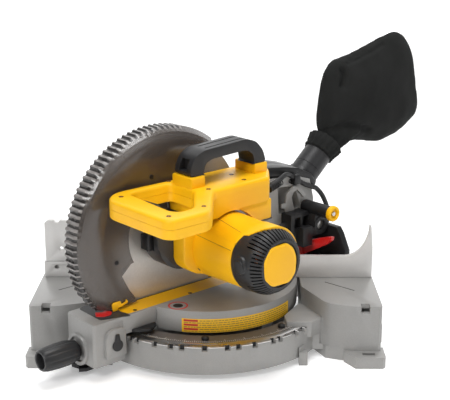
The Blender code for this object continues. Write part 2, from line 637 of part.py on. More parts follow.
def make_motor():
    barrel = rod((60.8, *MOTOR), (172, *MOTOR), MOTOR_WIDE_R, MOTOR_END_R, sides=56)
    band = plate(BAND, 60.4, BAND_END, SIDE)
    housing = join(barrel, band)
    housing = cut(housing, rod((50, *MOTOR), (180, *MOTOR), 45, sides=48),
                  rod((50, -78, 198), (84, -78, 198), 34, sides=40))
    HEAD.add(housing, "motor_housing", YELLOW)

    profile = [(0, 218), (40, 218), (45, 208), (45, 172.3), (52, 172.3), (CAP_R, 178), (52.6, 206), (48, 218),
               (40, 228.3), (35, 228.3), (35, 226), (0, 226)]
    cap = turned(profile, (0, *MOTOR), "X", steps=48, ring=False)
    brush_holes = []
    for sign in (1, -1):
        way = Vector((0, -1, 0)) * sign
        middle = Vector((194, *MOTOR))
        name = "brush_cap_front" if sign > 0 else "brush_cap_rear"
        brush_holes.append(rod(middle + way * 40, middle + way * 70, 11.4, sides=28))
        brush = rod(middle + way * 44, middle + way * 57, 11, sides=28)
        HEAD.add(brush, name, BLACK)
    HEAD.add(cut(cap, *brush_holes), "motor_end_cap", BLACK)
    HEAD.add(rod((226.3, *MOTOR), (228.8, *MOTOR), 34.5, sides=48), "end_cap_badge", YELLOW)
    stator = turned([(27.5, 92), (44.5, 92), (44.5, 150), (27.5, 150)], (0, *MOTOR), "X", steps=36)
    HEAD.add(stator, "stator", DARK)


def make_spindle_group():
    blade = turned([(12.8, -1.2), (BLADE_R, -1.2), (BLADE_R, 1.2), (12.8, 1.2)], (0, *ARBOR), "X", steps=72)
    SPINDLE.add(blade, "saw_blade", STEEL)
    inner = turned([(12.8, 1.5), (25, 1.5), (25, 8.5), (12.8, 8.5)], (0, *ARBOR), "X", steps=36)
    SPINDLE.add(inner, "inner_flange", STEEL)
    outer = turned([(4.6, -6.5), (25, -6.5), (26, -1.5), (4.6, -1.5)], (0, *ARBOR), "X", steps=36)
    SPINDLE.add(outer, "outer_flange", DARK)
    spindle = rod((-1.1, *ARBOR), (58, *ARBOR), 12.4, sides=32)
    spindle = cut(spindle, rod((-5, *ARBOR), (18, *ARBOR), 4.6, sides=20))
    SPINDLE.add(spindle, "spindle", STEEL)
    gear = turned([(12.7, 44), (37.8, 44), (37.8, 56), (12.7, 56)], (0, *ARBOR), "X", steps=40)
    SPINDLE.add(gear, "spindle_gear", STEEL)
    bolt = join(rod((-13, *ARBOR), (-6.8, *ARBOR), 9.5, sides=6), rod((-8, *ARBOR), (14, *ARBOR), 4.2, sides=16))
    SPINDLE.add(bolt, "arbor_bolt", STEEL)

    shaft = rod((32, *MOTOR), (206, *MOTOR), 6, sides=20)
    pinion = rod((44, *MOTOR), (57, *MOTOR), 13.3, sides=20)
    core = rod((92, *MOTOR), (150, *MOTOR), 26.5, sides=32)
    commutator = rod((158, *MOTOR), (178, *MOTOR), 15, sides=32)
    ARMATURE.add(join(shaft, pinion, core, commutator), "armature", COPPER)
    fan = turned([(6.3, 70), (41, 70), (41, 74), (20, 80), (6.3, 80)], (0, *MOTOR), "X", steps=36)
    ARMATURE.add(fan, "motor_fan", BLACK)


# Handle plan as (X, Y): the D loop in front and the top housing behind it.
LOOP = [(24, -84), (24, -194), (28, -212), (42, -228), (60, -235), (184, -235), (196, -226), (196, -165),
        (189, -150), (112, -80)]
OPENING = [(40, -108), (40, -180), (50, -192), (158, -199), (167, -190), (165, -166), (112, -121), (98, -108)]
HOUSING = [(24, 70), (24, -100), (116, -100), (116, 34), (108, 42), (70, 76)]


def make_handle():
    upper = plate(LOOP, HANDLE_SEAM + GAP, HANDLE_TOP)
    housing = plate(HOUSING, 246, HANDLE_TOP - 0.2)
    cavity = plate([(28, 66), (28, -80), (112, -80), (112, 32), (68, 70)], 240, 286)
    housing = cut(housing, cavity)
    skirt = box((104, 116), (-2, 38), (222, 250))
    front_foot = box((41, 90), (-104, -78), (288, 308))
    rear_foot = box((36, 86), (30, 56), (288, 308))
    arm_room = box((10, 59.6), (6, 90), (230, 268.6))
    barrel_room = rod((58, *MOTOR), (130, *MOTOR), MOTOR_WIDE_R + 3, sides=56)
    upper = cut(join(upper, housing, skirt, front_foot, rear_foot), arm_room, barrel_room)
    HEAD.add(cut(upper, plate(OPENING, 270, 300), box((59.6, 120), (-40, 8), (215, 246))), "handle_upper", YELLOW)
    lower = plate(LOOP, HANDLE_LOW, HANDLE_SEAM)
    keep_off = plate([(20, 90), (20, -100.3), (120, -100.3), (120, 90)], 240, 300)
    HEAD.add(cut(lower, plate(OPENING, 250, 290), keep_off), "handle_lower", YELLOW)

    outer = [(-104, 308.3), (-102, 325), (-92, 340), (-76, 347), (14, 352), (34, 345), (49, 329), (56, 308.3)]
    inner = [(31, 308.3), (28, 324), (18, 332), (8, 334), (-60, 331), (-72, 326), (-78, 308.3)]
    carry = plate(outer + inner, 46, 84, SIDE)
    HEAD.add(carry, "carry_handle", BLACK)

    trigger = [(60, -190), (60, -182), (72, -178), (96, -176), (110, -180), (110, -190)]
    TRIGGER.add(plate(trigger, 268, 284), "trigger", BLACK)
    button = box((24, 44), (-158, -147.5), (190, 216), bevel=2)
    SPINDLE_LOCK.add(button, "spindle_lock_button", BLACK)


BAG_HALF = 36.0
BAG = [(271, 304), (267, 325), (272, 357), (280, 396), (287, 420), (301, 436), (315, 443), (354, 450), (392, 460),
       (429, 470), (480, 480), (504, 472), (519, 455), (531, 422), (537, 400), (546, 382), (550, 362), (560, 343),
       (561, 323), (553, 304), (521, 284), (495, 273), (443, 263), (420, 266), (372, 276), (344, 277), (324, 268),
       (309, 260)]


def pillow(outline, middle, half):
    """A solid of copies of a side outline that shrink towards its two faces."""
    centre = Vector((sum(y for y, z in outline), sum(z for y, z in outline))) / len(outline)
    bm = bmesh.new()
    rows = []
    for share in (-0.97, -0.84, -0.6, -0.3, 0.0, 0.3, 0.6, 0.84, 0.97):
        points = [centre + (Vector(p) - centre) * math.sqrt(1 - share * share) for p in outline]
        rows.append([bm.verts.new(Vector((middle + share * half, p.x, p.y)) * MM) for p in points])
    count = len(outline)
    for here, there in zip(rows, rows[1:]):
        for k in range(count):
            bm.faces.new((here[k], here[(k + 1) % count], there[(k + 1) % count], there[k]))
    bm.faces.new(rows[0])
    bm.faces.new(rows[-1])
    bmesh.ops.recalc_face_normals(bm, faces=bm.faces)
    return from_bmesh(bm)


def make_dust_gear():
    at = Vector((TUBE_X, 238.5, 237.5))
    nozzle = turned([(18, -36), (23, -36), (27, -28), (28, -0.4), (24, -0.4)], at, TUBE_DIR, steps=32)
    duct = [(96, 240), (92, 266), (110, 274), (150, 274), (184, 266), (214, 244), (206, 222), (180, 226), (150, 240)]
    duct = plate(duct, TUBE_X - 20, TUBE_X + 20, SIDE)
    nozzle = cut(join(duct, nozzle), rod(at - TUBE_DIR * 30, at + TUBE_DIR * 4, 20, 24.2, sides=32))
    HEAD.add(nozzle, "dust_nozzle", BLACK)
    pipe = turned([(24, 0), (TUBE_R, 0), (TUBE_R, 66), (24, 66)], at, TUBE_DIR, steps=32)
    HEAD.add(pipe, "dust_tube", DARK)
    HEAD.add(pillow(BAG, TUBE_X, BAG_HALF), "dust_bag", CLOTH)
    clip = box((59.3, 70.5), (138, 152), (249, 267), bevel=1)
    clip = cut(clip, rod((65.6, 128, 268.6), (64.2, 164, 247), 5.2, sides=16))
    HEAD.add(clip, "cord_clip", BLACK)


# ---------------------------------------------------------------- power cord

CORD_ON_ARM = [(84, 68.5, 262), (81, 88, 268.5), (74, 110, 273), (67, 126, 269.4), (65.2, 136, 263.8),
               (64.8, 145, 258.4), (64.5, 154, 253), (64.5, 164, 247), (64.5, 175, 241.7), (64.5, 186, 236.8)]
CORD_LOOP = [(64.5, 186.8, 236.4), (64.5, 198, 231.5), (66, 214, 213), (66, 226, 184), (61, 227, 140),
             (60, 223, 110), (60, 222, 94)]
# The free cord in the base frame: down from the gland, along the bench, a coil and a tail to the plug.
CORD_DOWN = [(206, 102, 78.6), (206, 102.5, 60), (206, 104.5, 44), (205.5, 113, 22), (204, 128, 9), (201, 146, 4.6),
             (194, 168, 4.6), (178, 198, 4.6), (154, 228, 4.6), (126, 256, 4.6), (104, 284, 4.6), (94, 311, 4.6)]
COIL_AT = (40.0, 340.0)
COIL_MIDDLE_R = 46.0
CORD_TAIL = [(-2.4, 297.5, 20), (-4, 284, 15), (-10, 270, 9), (-22, 258, 6.5), (-38, 251, 9), (-52, 249.5, 14.5)]
PLUG_AT = (-52.0, 249.5, 14.5)


def make_cord():
    HEAD.add(tube(CORD_ON_ARM, CORD_R), "cord_on_arm", BLACK)
    TRUNNION.add(tube(CORD_LOOP, CORD_R), "cord_loop", BLACK)
    BASE.add(tube(CORD_DOWN, CORD_R, spacing=16), "cord_free", BLACK)
    low, high = 0.4, 0.4 + 6 * CORD_R
    inner, outer = COIL_MIDDLE_R - 2 * CORD_R, COIL_MIDDLE_R + 2 * CORD_R
    coil = turned([(inner, low), (outer, low), (outer, high), (inner, high)], (*COIL_AT, 0), (0, 0, 1), steps=40)
    BASE.add(coil, "cord_coil", BLACK)
    x, y, z = PLUG_AT
    tail = tube(CORD_TAIL, CORD_R, spacing=12)
    relief = rod((x + 8, y, z), (x - 24, y, z), 6, 8, sides=20)
    body = rod((x - 22, y, z), (x - 46, y, z), 11, 14, sides=20)
    blades = [box((x - 64, x - 44), (y + side * 7 - 0.8, y + side * 7 + 0.8), (z - 3.5, z + 3.5)) for side in (-1, 1)]
    BASE.add(join(body, relief, tail, *blades), "cord_plug", BLACK)


# ---------------------------------------------------------------- assembly


def centre_on_bench():
    """Shift everything so the origin is below the middle of the saw without its cord."""
    bpy.context.view_layer.update()
    low, high = Vector((9, 9, 9)), Vector((-9, -9, -9))
    for obj in PARTS.objects:
        if obj.type != "MESH" or obj.name.startswith("cord_"):
            continue
        for vertex in obj.data.vertices:
            at = obj.matrix_world @ vertex.co
            low = Vector(map(min, low, at))
            high = Vector(map(max, high, at))
    BASE.empty.location = Vector((-(low.x + high.x) / 2, -(low.y + high.y) / 2, -low.z))


make_base()
make_scale()
make_pivot_bolt()
make_fences()
make_turntable()
make_kerf_plates()
make_arm_fittings()
make_bevel_bracket()
make_trunnion()
make_arm()
make_guards()
make_gear_case()
make_motor()
make_spindle_group()
make_handle()
make_dust_gear()
make_cord()
centre_on_bench()
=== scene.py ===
"""The looks of the compound miter saw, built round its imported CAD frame.

Lengths are in millimetres in this file and are turned into metres by MM.
Shapes on the base are drawn in base axes: X right, Y to the rear, Z up, the miter axis at X = Y = 0.
Shapes on the arm and the head are drawn in arm axes: the same, turned with the arm, so that it points along -Y.
"""

import json
import math
import random

import bmesh
import bpy
from mathutils import Matrix, Vector, noise


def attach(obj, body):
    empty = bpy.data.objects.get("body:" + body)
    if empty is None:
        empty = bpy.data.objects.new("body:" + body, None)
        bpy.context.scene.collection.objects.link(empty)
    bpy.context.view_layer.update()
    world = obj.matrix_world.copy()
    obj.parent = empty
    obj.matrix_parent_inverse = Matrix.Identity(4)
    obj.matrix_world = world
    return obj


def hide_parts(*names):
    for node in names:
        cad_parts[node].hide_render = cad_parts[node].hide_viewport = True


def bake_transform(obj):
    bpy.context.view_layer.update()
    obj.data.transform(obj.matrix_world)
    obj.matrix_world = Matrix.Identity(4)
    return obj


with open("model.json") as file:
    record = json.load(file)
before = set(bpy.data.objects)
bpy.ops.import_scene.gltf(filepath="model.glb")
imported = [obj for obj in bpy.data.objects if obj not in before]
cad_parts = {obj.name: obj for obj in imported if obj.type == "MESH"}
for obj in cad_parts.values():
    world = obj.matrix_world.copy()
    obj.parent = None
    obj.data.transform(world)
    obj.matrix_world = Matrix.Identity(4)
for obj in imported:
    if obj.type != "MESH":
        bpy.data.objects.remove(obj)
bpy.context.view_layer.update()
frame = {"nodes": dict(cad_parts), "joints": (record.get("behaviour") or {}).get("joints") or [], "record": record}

MM = 0.001
BODY_OF = {n: body for body, nodes in frame["record"]["behaviour"]["bodies"].items() for n in nodes}
JOINTS = {joint["name"]: joint for joint in frame["joints"]}

# The arm's direction and the miter axis come from the frame's joints.
CHOP_AXIS = Vector(JOINTS["chop"]["axis"])
TURN = math.atan2(-CHOP_AXIS.y, -CHOP_AXIS.x)
MITER = Vector(JOINTS["miter"]["pos_m"])
BASE = Matrix.Translation(MITER)
ARM = BASE @ Matrix.Rotation(TURN, 4, "Z")

TABLE_Z = 96.0
TABLE_R = 154.0
ARBOR = (-98.0, 203.0)
MOTOR = (-47.0, 192.0)
CORD_R = 4.2
BEVEL_MAX = 48.0
TEETH = 60

CAMERA_TARGET = Vector((30.5, 0.0, 234.3))
CAMERA_ANGLES = (0.29, 16.434)
CAMERA_DISTANCE = 1724.7
CAMERA_LENS = 82.06


# -------------------- camera and studio


def add_camera():
    azimuth, elevation = (math.radians(a) for a in CAMERA_ANGLES)
    out = Vector((math.sin(azimuth) * math.cos(elevation), -math.cos(azimuth) * math.cos(elevation),
                  math.sin(elevation)))
    target = BASE @ (CAMERA_TARGET * MM)
    data = bpy.data.cameras.new("camera")
    data.lens = CAMERA_LENS
    data.sensor_width = 36
    data.clip_start, data.clip_end = 0.05, 50
    camera = bpy.data.objects.new("camera", data)
    bpy.context.scene.collection.objects.link(camera)
    camera.location = target + out * CAMERA_DISTANCE * MM
    camera.rotation_euler = (-out).to_track_quat("-Z", "Y").to_euler()
    bpy.context.scene.camera = camera


def add_light(name, place, size, power):
    data = bpy.data.lights.new(name, "AREA")
    data.shape = "RECTANGLE"
    data.size, data.size_y = size
    data.energy = power
    light = bpy.data.objects.new(name, data)
    bpy.context.scene.collection.objects.link(light)
    light.location = place
    light.rotation_euler = (Vector((0, 0, 0.15)) - Vector(place)).to_track_quat("-Z", "Y").to_euler()


def add_studio():
    world = bpy.data.worlds.new("studio")
    bpy.context.scene.world = world
    world.use_nodes = True
    background = world.node_tree.nodes["Background"]
    put(background, {"Color": (1, 1, 1, 1), "Strength": 0.25})
    bpy.context.scene.view_settings.view_transform = "Standard"
    add_light("key", (-0.9, -2.1, 2.0), (1.0, 0.7), 30)
    add_light("fill", (1.9, -1.3, 1.2), (1.0, 1.0), 7)
    add_light("top", (0.1, -0.2, 2.4), (1.2, 0.9), 34)
    floor = new_object("floor", square_bmesh(12))
    floor.data.materials.append(glowing("floor", 0.3))
    wall = new_object("wall", square_bmesh(12))
    wall.rotation_euler = (math.radians(90), 0, 0)
    wall.location = (0, 4, 5.9)
    wall.data.materials.append(glowing("wall", 1.0))


def glowing(name, strength):
    made = plain(name, (0.9, 0.9, 0.9), 0.9)
    shader = made.node_tree.nodes["Principled BSDF"]
    put(shader, {"Emission Color": (1, 1, 1, 1), "Emission Strength": strength})
    return made


def square_bmesh(side):
    bm = bmesh.new()
    bmesh.ops.create_grid(bm, x_segments=1, y_segments=1, size=side / 2)
    return bm


# -------------------- materials


LOOKS = {}


def put(node, values):
    for socket, value in values.items():
        node.inputs[socket].default_value = value


def plain(name, colour, roughness=0.5, metallic=0.0):
    if name in LOOKS:
        return LOOKS[name]
    made = LOOKS[name] = bpy.data.materials.new(name)
    made.use_nodes = True
    shader = made.node_tree.nodes["Principled BSDF"]
    put(shader, {"Base Color": (*colour, 1), "Roughness": roughness, "Metallic": metallic})
    return made


def noise_node(made, source, scale, detail):
    node = made.node_tree.nodes.new("ShaderNodeTexNoise")
    put(node, {"Scale": scale, "Detail": detail})
    made.node_tree.links.new(source, node.inputs["Vector"])
    return node


def surface(name, light, dark, rough, metallic=0.0, patch=9.0, grain=900.0, bump=0.12, depth=0.1, stretch=None,
            coat=0.0, alpha=1.0, shine=0.5):
    """A material with patchy colour, patchy gloss and a fine bump.

    light and dark are the two colours it wanders between; rough is its least and most roughness; patch and
    grain are noise scales per metre; depth is the bump's height in millimetres; stretch squeezes the grain;
    shine is the strength of its mirror reflection.
    """
    if name in LOOKS:
        return LOOKS[name]
    made = plain(name, light, sum(rough) / 2, metallic)
    nodes, links = made.node_tree.nodes, made.node_tree.links
    shader = nodes["Principled BSDF"]
    put(shader, {"Coat Weight": coat, "Coat Roughness": 0.25, "Alpha": alpha, "Specular IOR Level": shine})
    place = nodes.new("ShaderNodeTexCoord")
    mapping = nodes.new("ShaderNodeMapping")
    put(mapping, {"Scale": stretch or (1, 1, 1)})
    links.new(place.outputs["Object"], mapping.inputs["Vector"])

    patches = noise_node(made, place.outputs["Object"], patch, 4)
    fine = noise_node(made, mapping.outputs["Vector"], grain, 2)

    blend = nodes.new("ShaderNodeMath")
    blend.operation = "MULTIPLY_ADD"
    blend.inputs[1].default_value = 0.35
    links.new(fine.outputs["Fac"], blend.inputs[0])
    links.new(patches.outputs["Fac"], blend.inputs[2])
    ramp = nodes.new("ShaderNodeValToRGB")
    ramp.color_ramp.elements[0].position = 0.4
    ramp.color_ramp.elements[0].color = (*dark, 1)
    ramp.color_ramp.elements[1].position = 0.85
    ramp.color_ramp.elements[1].color = (*light, 1)
    links.new(blend.outputs[0], ramp.inputs["Fac"])
    links.new(ramp.outputs["Color"], shader.inputs["Base Color"])

    gloss = nodes.new("ShaderNodeMapRange")
    put(gloss, {"From Min": 0.3, "From Max": 0.7, "To Min": rough[0], "To Max": rough[1]})
    links.new(patches.outputs["Fac"], gloss.inputs["Value"])
    links.new(gloss.outputs["Result"], shader.inputs["Roughness"])

    relief = nodes.new("ShaderNodeBump")
    put(relief, {"Strength": bump, "Distance": depth * MM})
    links.new(fine.outputs["Fac"], relief.inputs["Height"])
    links.new(relief.outputs["Normal"], shader.inputs["Normal"])
    return made


def yellow():
    return surface("yellow_plastic", (0.93, 0.5, 0.004), (0.84, 0.43, 0.003), (0.34, 0.48), patch=14, bump=0.2,
                   depth=0.15, shine=0.3)


# Painted shade: a dark brownish yellow, the look of the handle's screw holes in the yellow plastic in shade.
def recess():
    return surface("screw_recess_shade", (0.13, 0.035, 0.008), (0.07, 0.02, 0.006), (0.4, 0.6), patch=40)


# Painted shade: a darker copy of the yellow for thin lines where the motor barrel's creases are shaded.
def crease_shade():
    return surface("yellow_crease_shade", (0.4, 0.22, 0.004), (0.3, 0.16, 0.003), (0.5, 0.6), patch=14)


def black():
    return surface("black_plastic", (0.012, 0.012, 0.013), (0.007, 0.007, 0.0075), (0.36, 0.5), patch=20, bump=0.35,
                   depth=0.2, shine=0.35)


def charcoal():
    return surface("charcoal_plastic", (0.017, 0.017, 0.018), (0.01, 0.01, 0.011), (0.38, 0.52), patch=18, bump=0.35,
                   depth=0.2, shine=0.4)


def casting():
    return surface("painted_casting", (0.32, 0.315, 0.305), (0.25, 0.246, 0.238), (0.34, 0.48), metallic=0.2,
                   patch=11, grain=700, bump=0.3, depth=0.25)


def fence_face():
    return surface("fence_face", (0.62, 0.61, 0.595), (0.5, 0.49, 0.48), (0.32, 0.44), metallic=0.15, patch=11,
                   grain=160, bump=0.2, depth=0.15, stretch=(3, 3, 30))


def dark_casting():
    return surface("dark_casting", (0.05, 0.05, 0.052), (0.03, 0.03, 0.032), (0.4, 0.55), metallic=0.3, patch=14,
                   bump=0.3, depth=0.2)


def steel():
    return surface("bare_steel", (0.62, 0.61, 0.6), (0.45, 0.44, 0.43), (0.2, 0.36), metallic=1.0, patch=16,
                   grain=300, bump=0.08, depth=0.05)


def blade_steel():
    return surface("blade_steel", (0.72, 0.7, 0.67), (0.58, 0.56, 0.53), (0.34, 0.46), metallic=0.6, patch=9,
                   grain=260, bump=0.1, depth=0.05)


def smoke():
    return surface("smoky_plastic", (0.1, 0.085, 0.075), (0.06, 0.05, 0.044), (0.14, 0.28), patch=10, bump=0.08,
                   depth=0.15, alpha=0.8, coat=0.5)


# Painted highlight: a lighter copy of the smoky plastic for the lit crests of the guard's ribs.
def smoke_rib_highlight():
    return surface("smoky_ribs_highlight", (0.27, 0.25, 0.24), (0.15, 0.137, 0.128), (0.14, 0.3), patch=60, bump=0.1,
                   depth=0.2, alpha=0.92, coat=0.2)


# Painted shade: a darker copy of the smoky plastic for the shaded gaps between the guard's ribs.
def smoke_gap_shade():
    return surface("smoky_gaps_shade", (0.035, 0.031, 0.029), (0.02, 0.018, 0.017), (0.2, 0.35), patch=60, alpha=0.92)


def red():
    return surface("red_plastic", (0.62, 0.012, 0.01), (0.5, 0.008, 0.007), (0.3, 0.42), patch=16)


def copper():
    return surface("copper", (0.6, 0.27, 0.13), (0.45, 0.18, 0.08), (0.3, 0.45), metallic=1.0, grain=400)


def scale_plate():
    return surface("scale_plate", (0.16, 0.14, 0.125), (0.1, 0.09, 0.08), (0.35, 0.5), metallic=0.4, patch=30)


def rubber():
    return surface("cord_rubber", (0.008, 0.008, 0.009), (0.005, 0.005, 0.005), (0.5, 0.65), patch=30, grain=1500,
                   bump=0.2, depth=0.1)


def cloth():
    """Matte black weave: two crossed fine waves in the bump, faded in patches."""
    made = surface("black_cloth", (0.021, 0.0215, 0.021), (0.013, 0.0135, 0.013), (0.85, 0.95), patch=14, grain=500,
                   bump=0.0, shine=0.1)
    nodes, links = made.node_tree.nodes, made.node_tree.links
    if "weave" in nodes:
        return made
    place = nodes.new("ShaderNodeTexCoord")
    waves = []
    for index, axis in enumerate(("X", "Z")):
        wave = nodes.new("ShaderNodeTexWave")
        wave.name = "weave" if index == 0 else "weft"
        wave.bands_direction = axis
        put(wave, {"Scale": 320, "Distortion": 1.5})
        links.new(place.outputs["Object"], wave.inputs["Vector"])
        waves.append(wave)
    both = nodes.new("ShaderNodeMath")
    both.operation = "MULTIPLY"
    links.new(waves[0].outputs["Fac"], both.inputs[0])
    links.new(waves[1].outputs["Fac"], both.inputs[1])
    relief = nodes.new("ShaderNodeBump")
    put(relief, {"Strength": 0.5, "Distance": 0.4 * MM})
    links.new(both.outputs[0], relief.inputs["Height"])
    links.new(relief.outputs["Normal"], nodes["Principled BSDF"].inputs["Normal"])
    return made


# -------------------- shapes


def new_object(name, bm):
    mesh = bpy.data.meshes.new(name)
    bm.to_mesh(mesh)
    bm.free()
    obj = bpy.data.objects.new(name, mesh)
    bpy.context.scene.collection.objects.link(obj)
    return obj


def evaluated_bmesh(obj):
    bpy.context.view_layer.update()
    graph = bpy.context.evaluated_depsgraph_get()
    mesh = bpy.data.meshes.new_from_object(obj.evaluated_get(graph))
    bm = bmesh.new()
    bm.from_mesh(mesh)
    bpy.data.meshes.remove(mesh)
    return bm


def taken(obj, *others):
    """The evaluated mesh of an object that was only made for it, with all such objects removed."""
    bm = evaluated_bmesh(obj)
    for used in (obj, *others):
        bpy.data.objects.remove(used, do_unlink=True)
    return bm


def box(x, y, z, bevel=0.0):
    bm = bmesh.new()
    bmesh.ops.create_cube(bm, size=1.0)
    size = Vector((x[1] - x[0], y[1] - y[0], z[1] - z[0])) * MM
    middle = Vector((x[0] + x[1], y[0] + y[1], z[0] + z[1])) * MM / 2
    bmesh.ops.scale(bm, vec=size, verts=bm.verts)
    bmesh.ops.translate(bm, vec=middle, verts=bm.verts)
    if bevel:
        bmesh.ops.bevel(bm, geom=bm.edges[:], offset=bevel * MM, segments=2, affect="EDGES", profile=0.5)
    return bm


def spun(bm, degrees, axis, at=(0, 0, 0)):
    """bm turned about an axis through the origin, then moved to at."""
    turn = Matrix.Rotation(math.radians(degrees), 3, axis)
    bmesh.ops.rotate(bm, cent=(0, 0, 0), matrix=turn, verts=bm.verts)
    bmesh.ops.translate(bm, vec=Vector(at) * MM, verts=bm.verts)
    return bm


def rod(start, end, radius, end_radius=None, sides=32, bevel=0.0):
    a, b = Vector(start) * MM, Vector(end) * MM
    bm = bmesh.new()
    far = radius if end_radius is None else end_radius
    bmesh.ops.create_cone(bm, cap_ends=True, segments=sides, radius1=radius * MM, radius2=far * MM,
                          depth=(b - a).length)
    if bevel:
        rims = [e for e in bm.edges if any(len(f.verts) > 4 for f in e.link_faces)]
        bmesh.ops.bevel(bm, geom=rims, offset=bevel * MM, segments=2, affect="EDGES", profile=0.5)
    turn = (b - a).to_track_quat("Z", "Y").to_matrix().to_4x4()
    bmesh.ops.transform(bm, matrix=Matrix.Translation((a + b) / 2) @ turn, verts=bm.verts)
    return bm


PLAN = Matrix.Identity(4)
SIDE = Matrix(((0, 0, 1), (1, 0, 0), (0, 1, 0))).to_4x4()


def rounded(outline, radius, steps=5):
    """The outline with each corner turned into an arc of about that radius."""
    made = []
    count = len(outline)
    for i, corner in enumerate(outline):
        before, here, after = Vector(outline[i - 1]), Vector(corner), Vector(outline[(i + 1) % count])
        back, ahead = before - here, after - here
        reach = min(radius, back.length * 0.45, ahead.length * 0.45)
        start, end = here + back.normalized() * reach, here + ahead.normalized() * reach
        for k in range(steps + 1):
            t = k / steps
            made.append(tuple(start * (1 - t) ** 2 + here * 2 * t * (1 - t) + end * t * t))
    return made


def plate(outline, low, high, view=PLAN, holes=(), low_edge=0.0, high_edge=0.0, segments=3):
    """A flat outline, with holes, from low to high; its rims can be rounded."""
    curve = bpy.data.curves.new("outline", "CURVE")
    curve.dimensions = "2D"
    curve.fill_mode = "BOTH"
    curve.extrude = (high - low) * MM / 2
    for loop in (outline, *holes):
        spline = curve.splines.new("POLY")
        spline.points.add(len(loop) - 1)
        for point, (u, v) in zip(spline.points, loop):
            point.co = (u * MM, v * MM, 0, 1)
        spline.use_cyclic_u = True
    guide = bpy.data.objects.new("outline", curve)
    bpy.context.scene.collection.objects.link(guide)
    bm = taken(guide)
    bmesh.ops.remove_doubles(bm, verts=bm.verts, dist=0.00001)
    bmesh.ops.recalc_face_normals(bm, faces=bm.faces)
    half = (high - low) * MM / 2
    bmesh.ops.dissolve_limit(bm, angle_limit=0.01, verts=[], edges=[
        e for e in bm.edges if e.is_manifold and e.calc_face_angle(0) < 0.001])
    for level, width in ((-half, low_edge), (half, high_edge)):
        if width:
            rim = [e for e in bm.edges if all(abs(v.co.z - level) < 1e-6 for v in e.verts)
                   and e.is_manifold and e.calc_face_angle(0) > 0.5]
            bmesh.ops.bevel(bm, geom=rim, offset=width * MM, segments=segments, affect="EDGES", profile=0.5,
                            clamp_overlap=True)
    bmesh.ops.translate(bm, vec=(0, 0, (low + high) * MM / 2), verts=bm.verts)
    bmesh.ops.transform(bm, matrix=view, verts=bm.verts)
    bmesh.ops.recalc_face_normals(bm, faces=bm.faces)
    return bm


def turned(profile, centre, axis, sweep=(0.0, 360.0), steps=48, ring=True):
    """A profile of (radius, height) turned about an axis.

    For the axis along X, an angle of 0 faces -Y and 90 faces up.
    """
    bm = bmesh.new()
    full = sweep[1] - sweep[0] > 359.9
    rows = []
    for i in range(steps if full else steps + 1):
        angle = math.radians(sweep[0] + (sweep[1] - sweep[0]) * i / steps)
        rows.append([bm.verts.new((r * MM * math.cos(angle), r * MM * math.sin(angle), h * MM)) for r, h in profile])
    count = len(profile)
    for i in range(steps):
        here, there = rows[i], rows[(i + 1) % len(rows)]
        for k in range(count if ring else count - 1):
            bm.faces.new((here[k], there[k], there[(k + 1) % count], here[(k + 1) % count]))
    if not full:
        bm.faces.new(rows[0])
        bm.faces.new(rows[-1])
    bmesh.ops.remove_doubles(bm, verts=bm.verts, dist=0.000001)
    if axis == "X":
        turn = Matrix(((0, 0, 1), (-1, 0, 0), (0, 1, 0))).to_4x4()
    elif axis == "Z":
        turn = Matrix.Identity(4)
    else:
        turn = Vector(axis).to_track_quat("Z", "Y").to_matrix().to_4x4()
    bmesh.ops.transform(bm, matrix=Matrix.Translation(Vector(centre) * MM) @ turn, verts=bm.verts)
    bmesh.ops.recalc_face_normals(bm, faces=bm.faces)
    return bm


def smooth_route(points, spacing):
    """Evenly spaced points on a smooth curve through the given ones."""
    points = [Vector(p) for p in points]
    padded = [2 * points[0] - points[1]] + points + [2 * points[-1] - points[-2]]
    fine = []
    for before, start, end, after in zip(padded, padded[1:], padded[2:], padded[3:]):
        for step in range(20):
            t = step / 20
            bend = (2 * start, end - before, 2 * before - 5 * start + 4 * end - after,
                    3 * start - before - 3 * end + after)
            fine.append((bend[0] + bend[1] * t + bend[2] * t * t + bend[3] * t ** 3) / 2)
    fine.append(points[-1])
    length = sum((b - a).length for a, b in zip(fine, fine[1:]))
    count = max(2, round(length / spacing))
    kept, walked, target = [fine[0]], 0.0, length / count
    for a, b in zip(fine, fine[1:]):
        step = (b - a).length
        while walked + step >= target and len(kept) < count:
            kept.append(a.lerp(b, (target - walked) / step))
            target += length / count
        walked += step
    return kept + [fine[-1]]


def skinned(bm, rows, closed=False):
    """Faces from each row of vertices to the next, with the two ends filled unless the rows close on themselves."""
    count = len(rows[0])
    for here, there in zip(rows, rows[1:] + rows[:1] if closed else rows[1:]):
        for k in range(count):
            bm.faces.new((here[k], here[(k + 1) % count], there[(k + 1) % count], there[k]))
    if not closed:
        bm.faces.new(rows[0])
        bm.faces.new(rows[-1])
    bmesh.ops.recalc_face_normals(bm, faces=bm.faces)
    return bm


def tube(points, radius, spacing=5.0, sides=14):
    """A round tube along a smooth route; radius can be a function of the share of its length."""
    route = smooth_route(points, spacing)
    bm = bmesh.new()
    rings = []
    side = None
    for i, at in enumerate(route):
        ahead = (route[min(i + 1, len(route) - 1)] - route[max(i - 1, 0)]).normalized()
        if side is None:
            side = ahead.orthogonal().normalized()
        side = (side - ahead * side.dot(ahead)).normalized()
        across = ahead.cross(side)
        r = radius(i / (len(route) - 1)) if callable(radius) else radius
        rings.append([
            bm.verts.new((at + (side * math.cos(a) + across * math.sin(a)) * r) * MM)
            for a in (2 * math.pi * k / sides for k in range(sides))])
    return skinned(bm, rings)


def together(*parts):
    whole = bmesh.new()
    for part in parts:
        mesh = bpy.data.meshes.new("part")
        part.to_mesh(mesh)
        part.free()
        whole.from_mesh(mesh)
        bpy.data.meshes.remove(mesh)
    return whole


def carved(bm, *tools):
    """bm with the tools cut out of it."""
    target = new_object("carved", bm)
    cutters = []
    for tool in tools:
        cutter = new_object("cutter", tool)
        boolean = target.modifiers.new("cut", "BOOLEAN")
        boolean.operation = "DIFFERENCE"
        boolean.solver = "EXACT"
        boolean.object = cutter
        cutters.append(cutter)
    return taken(target, *cutters)


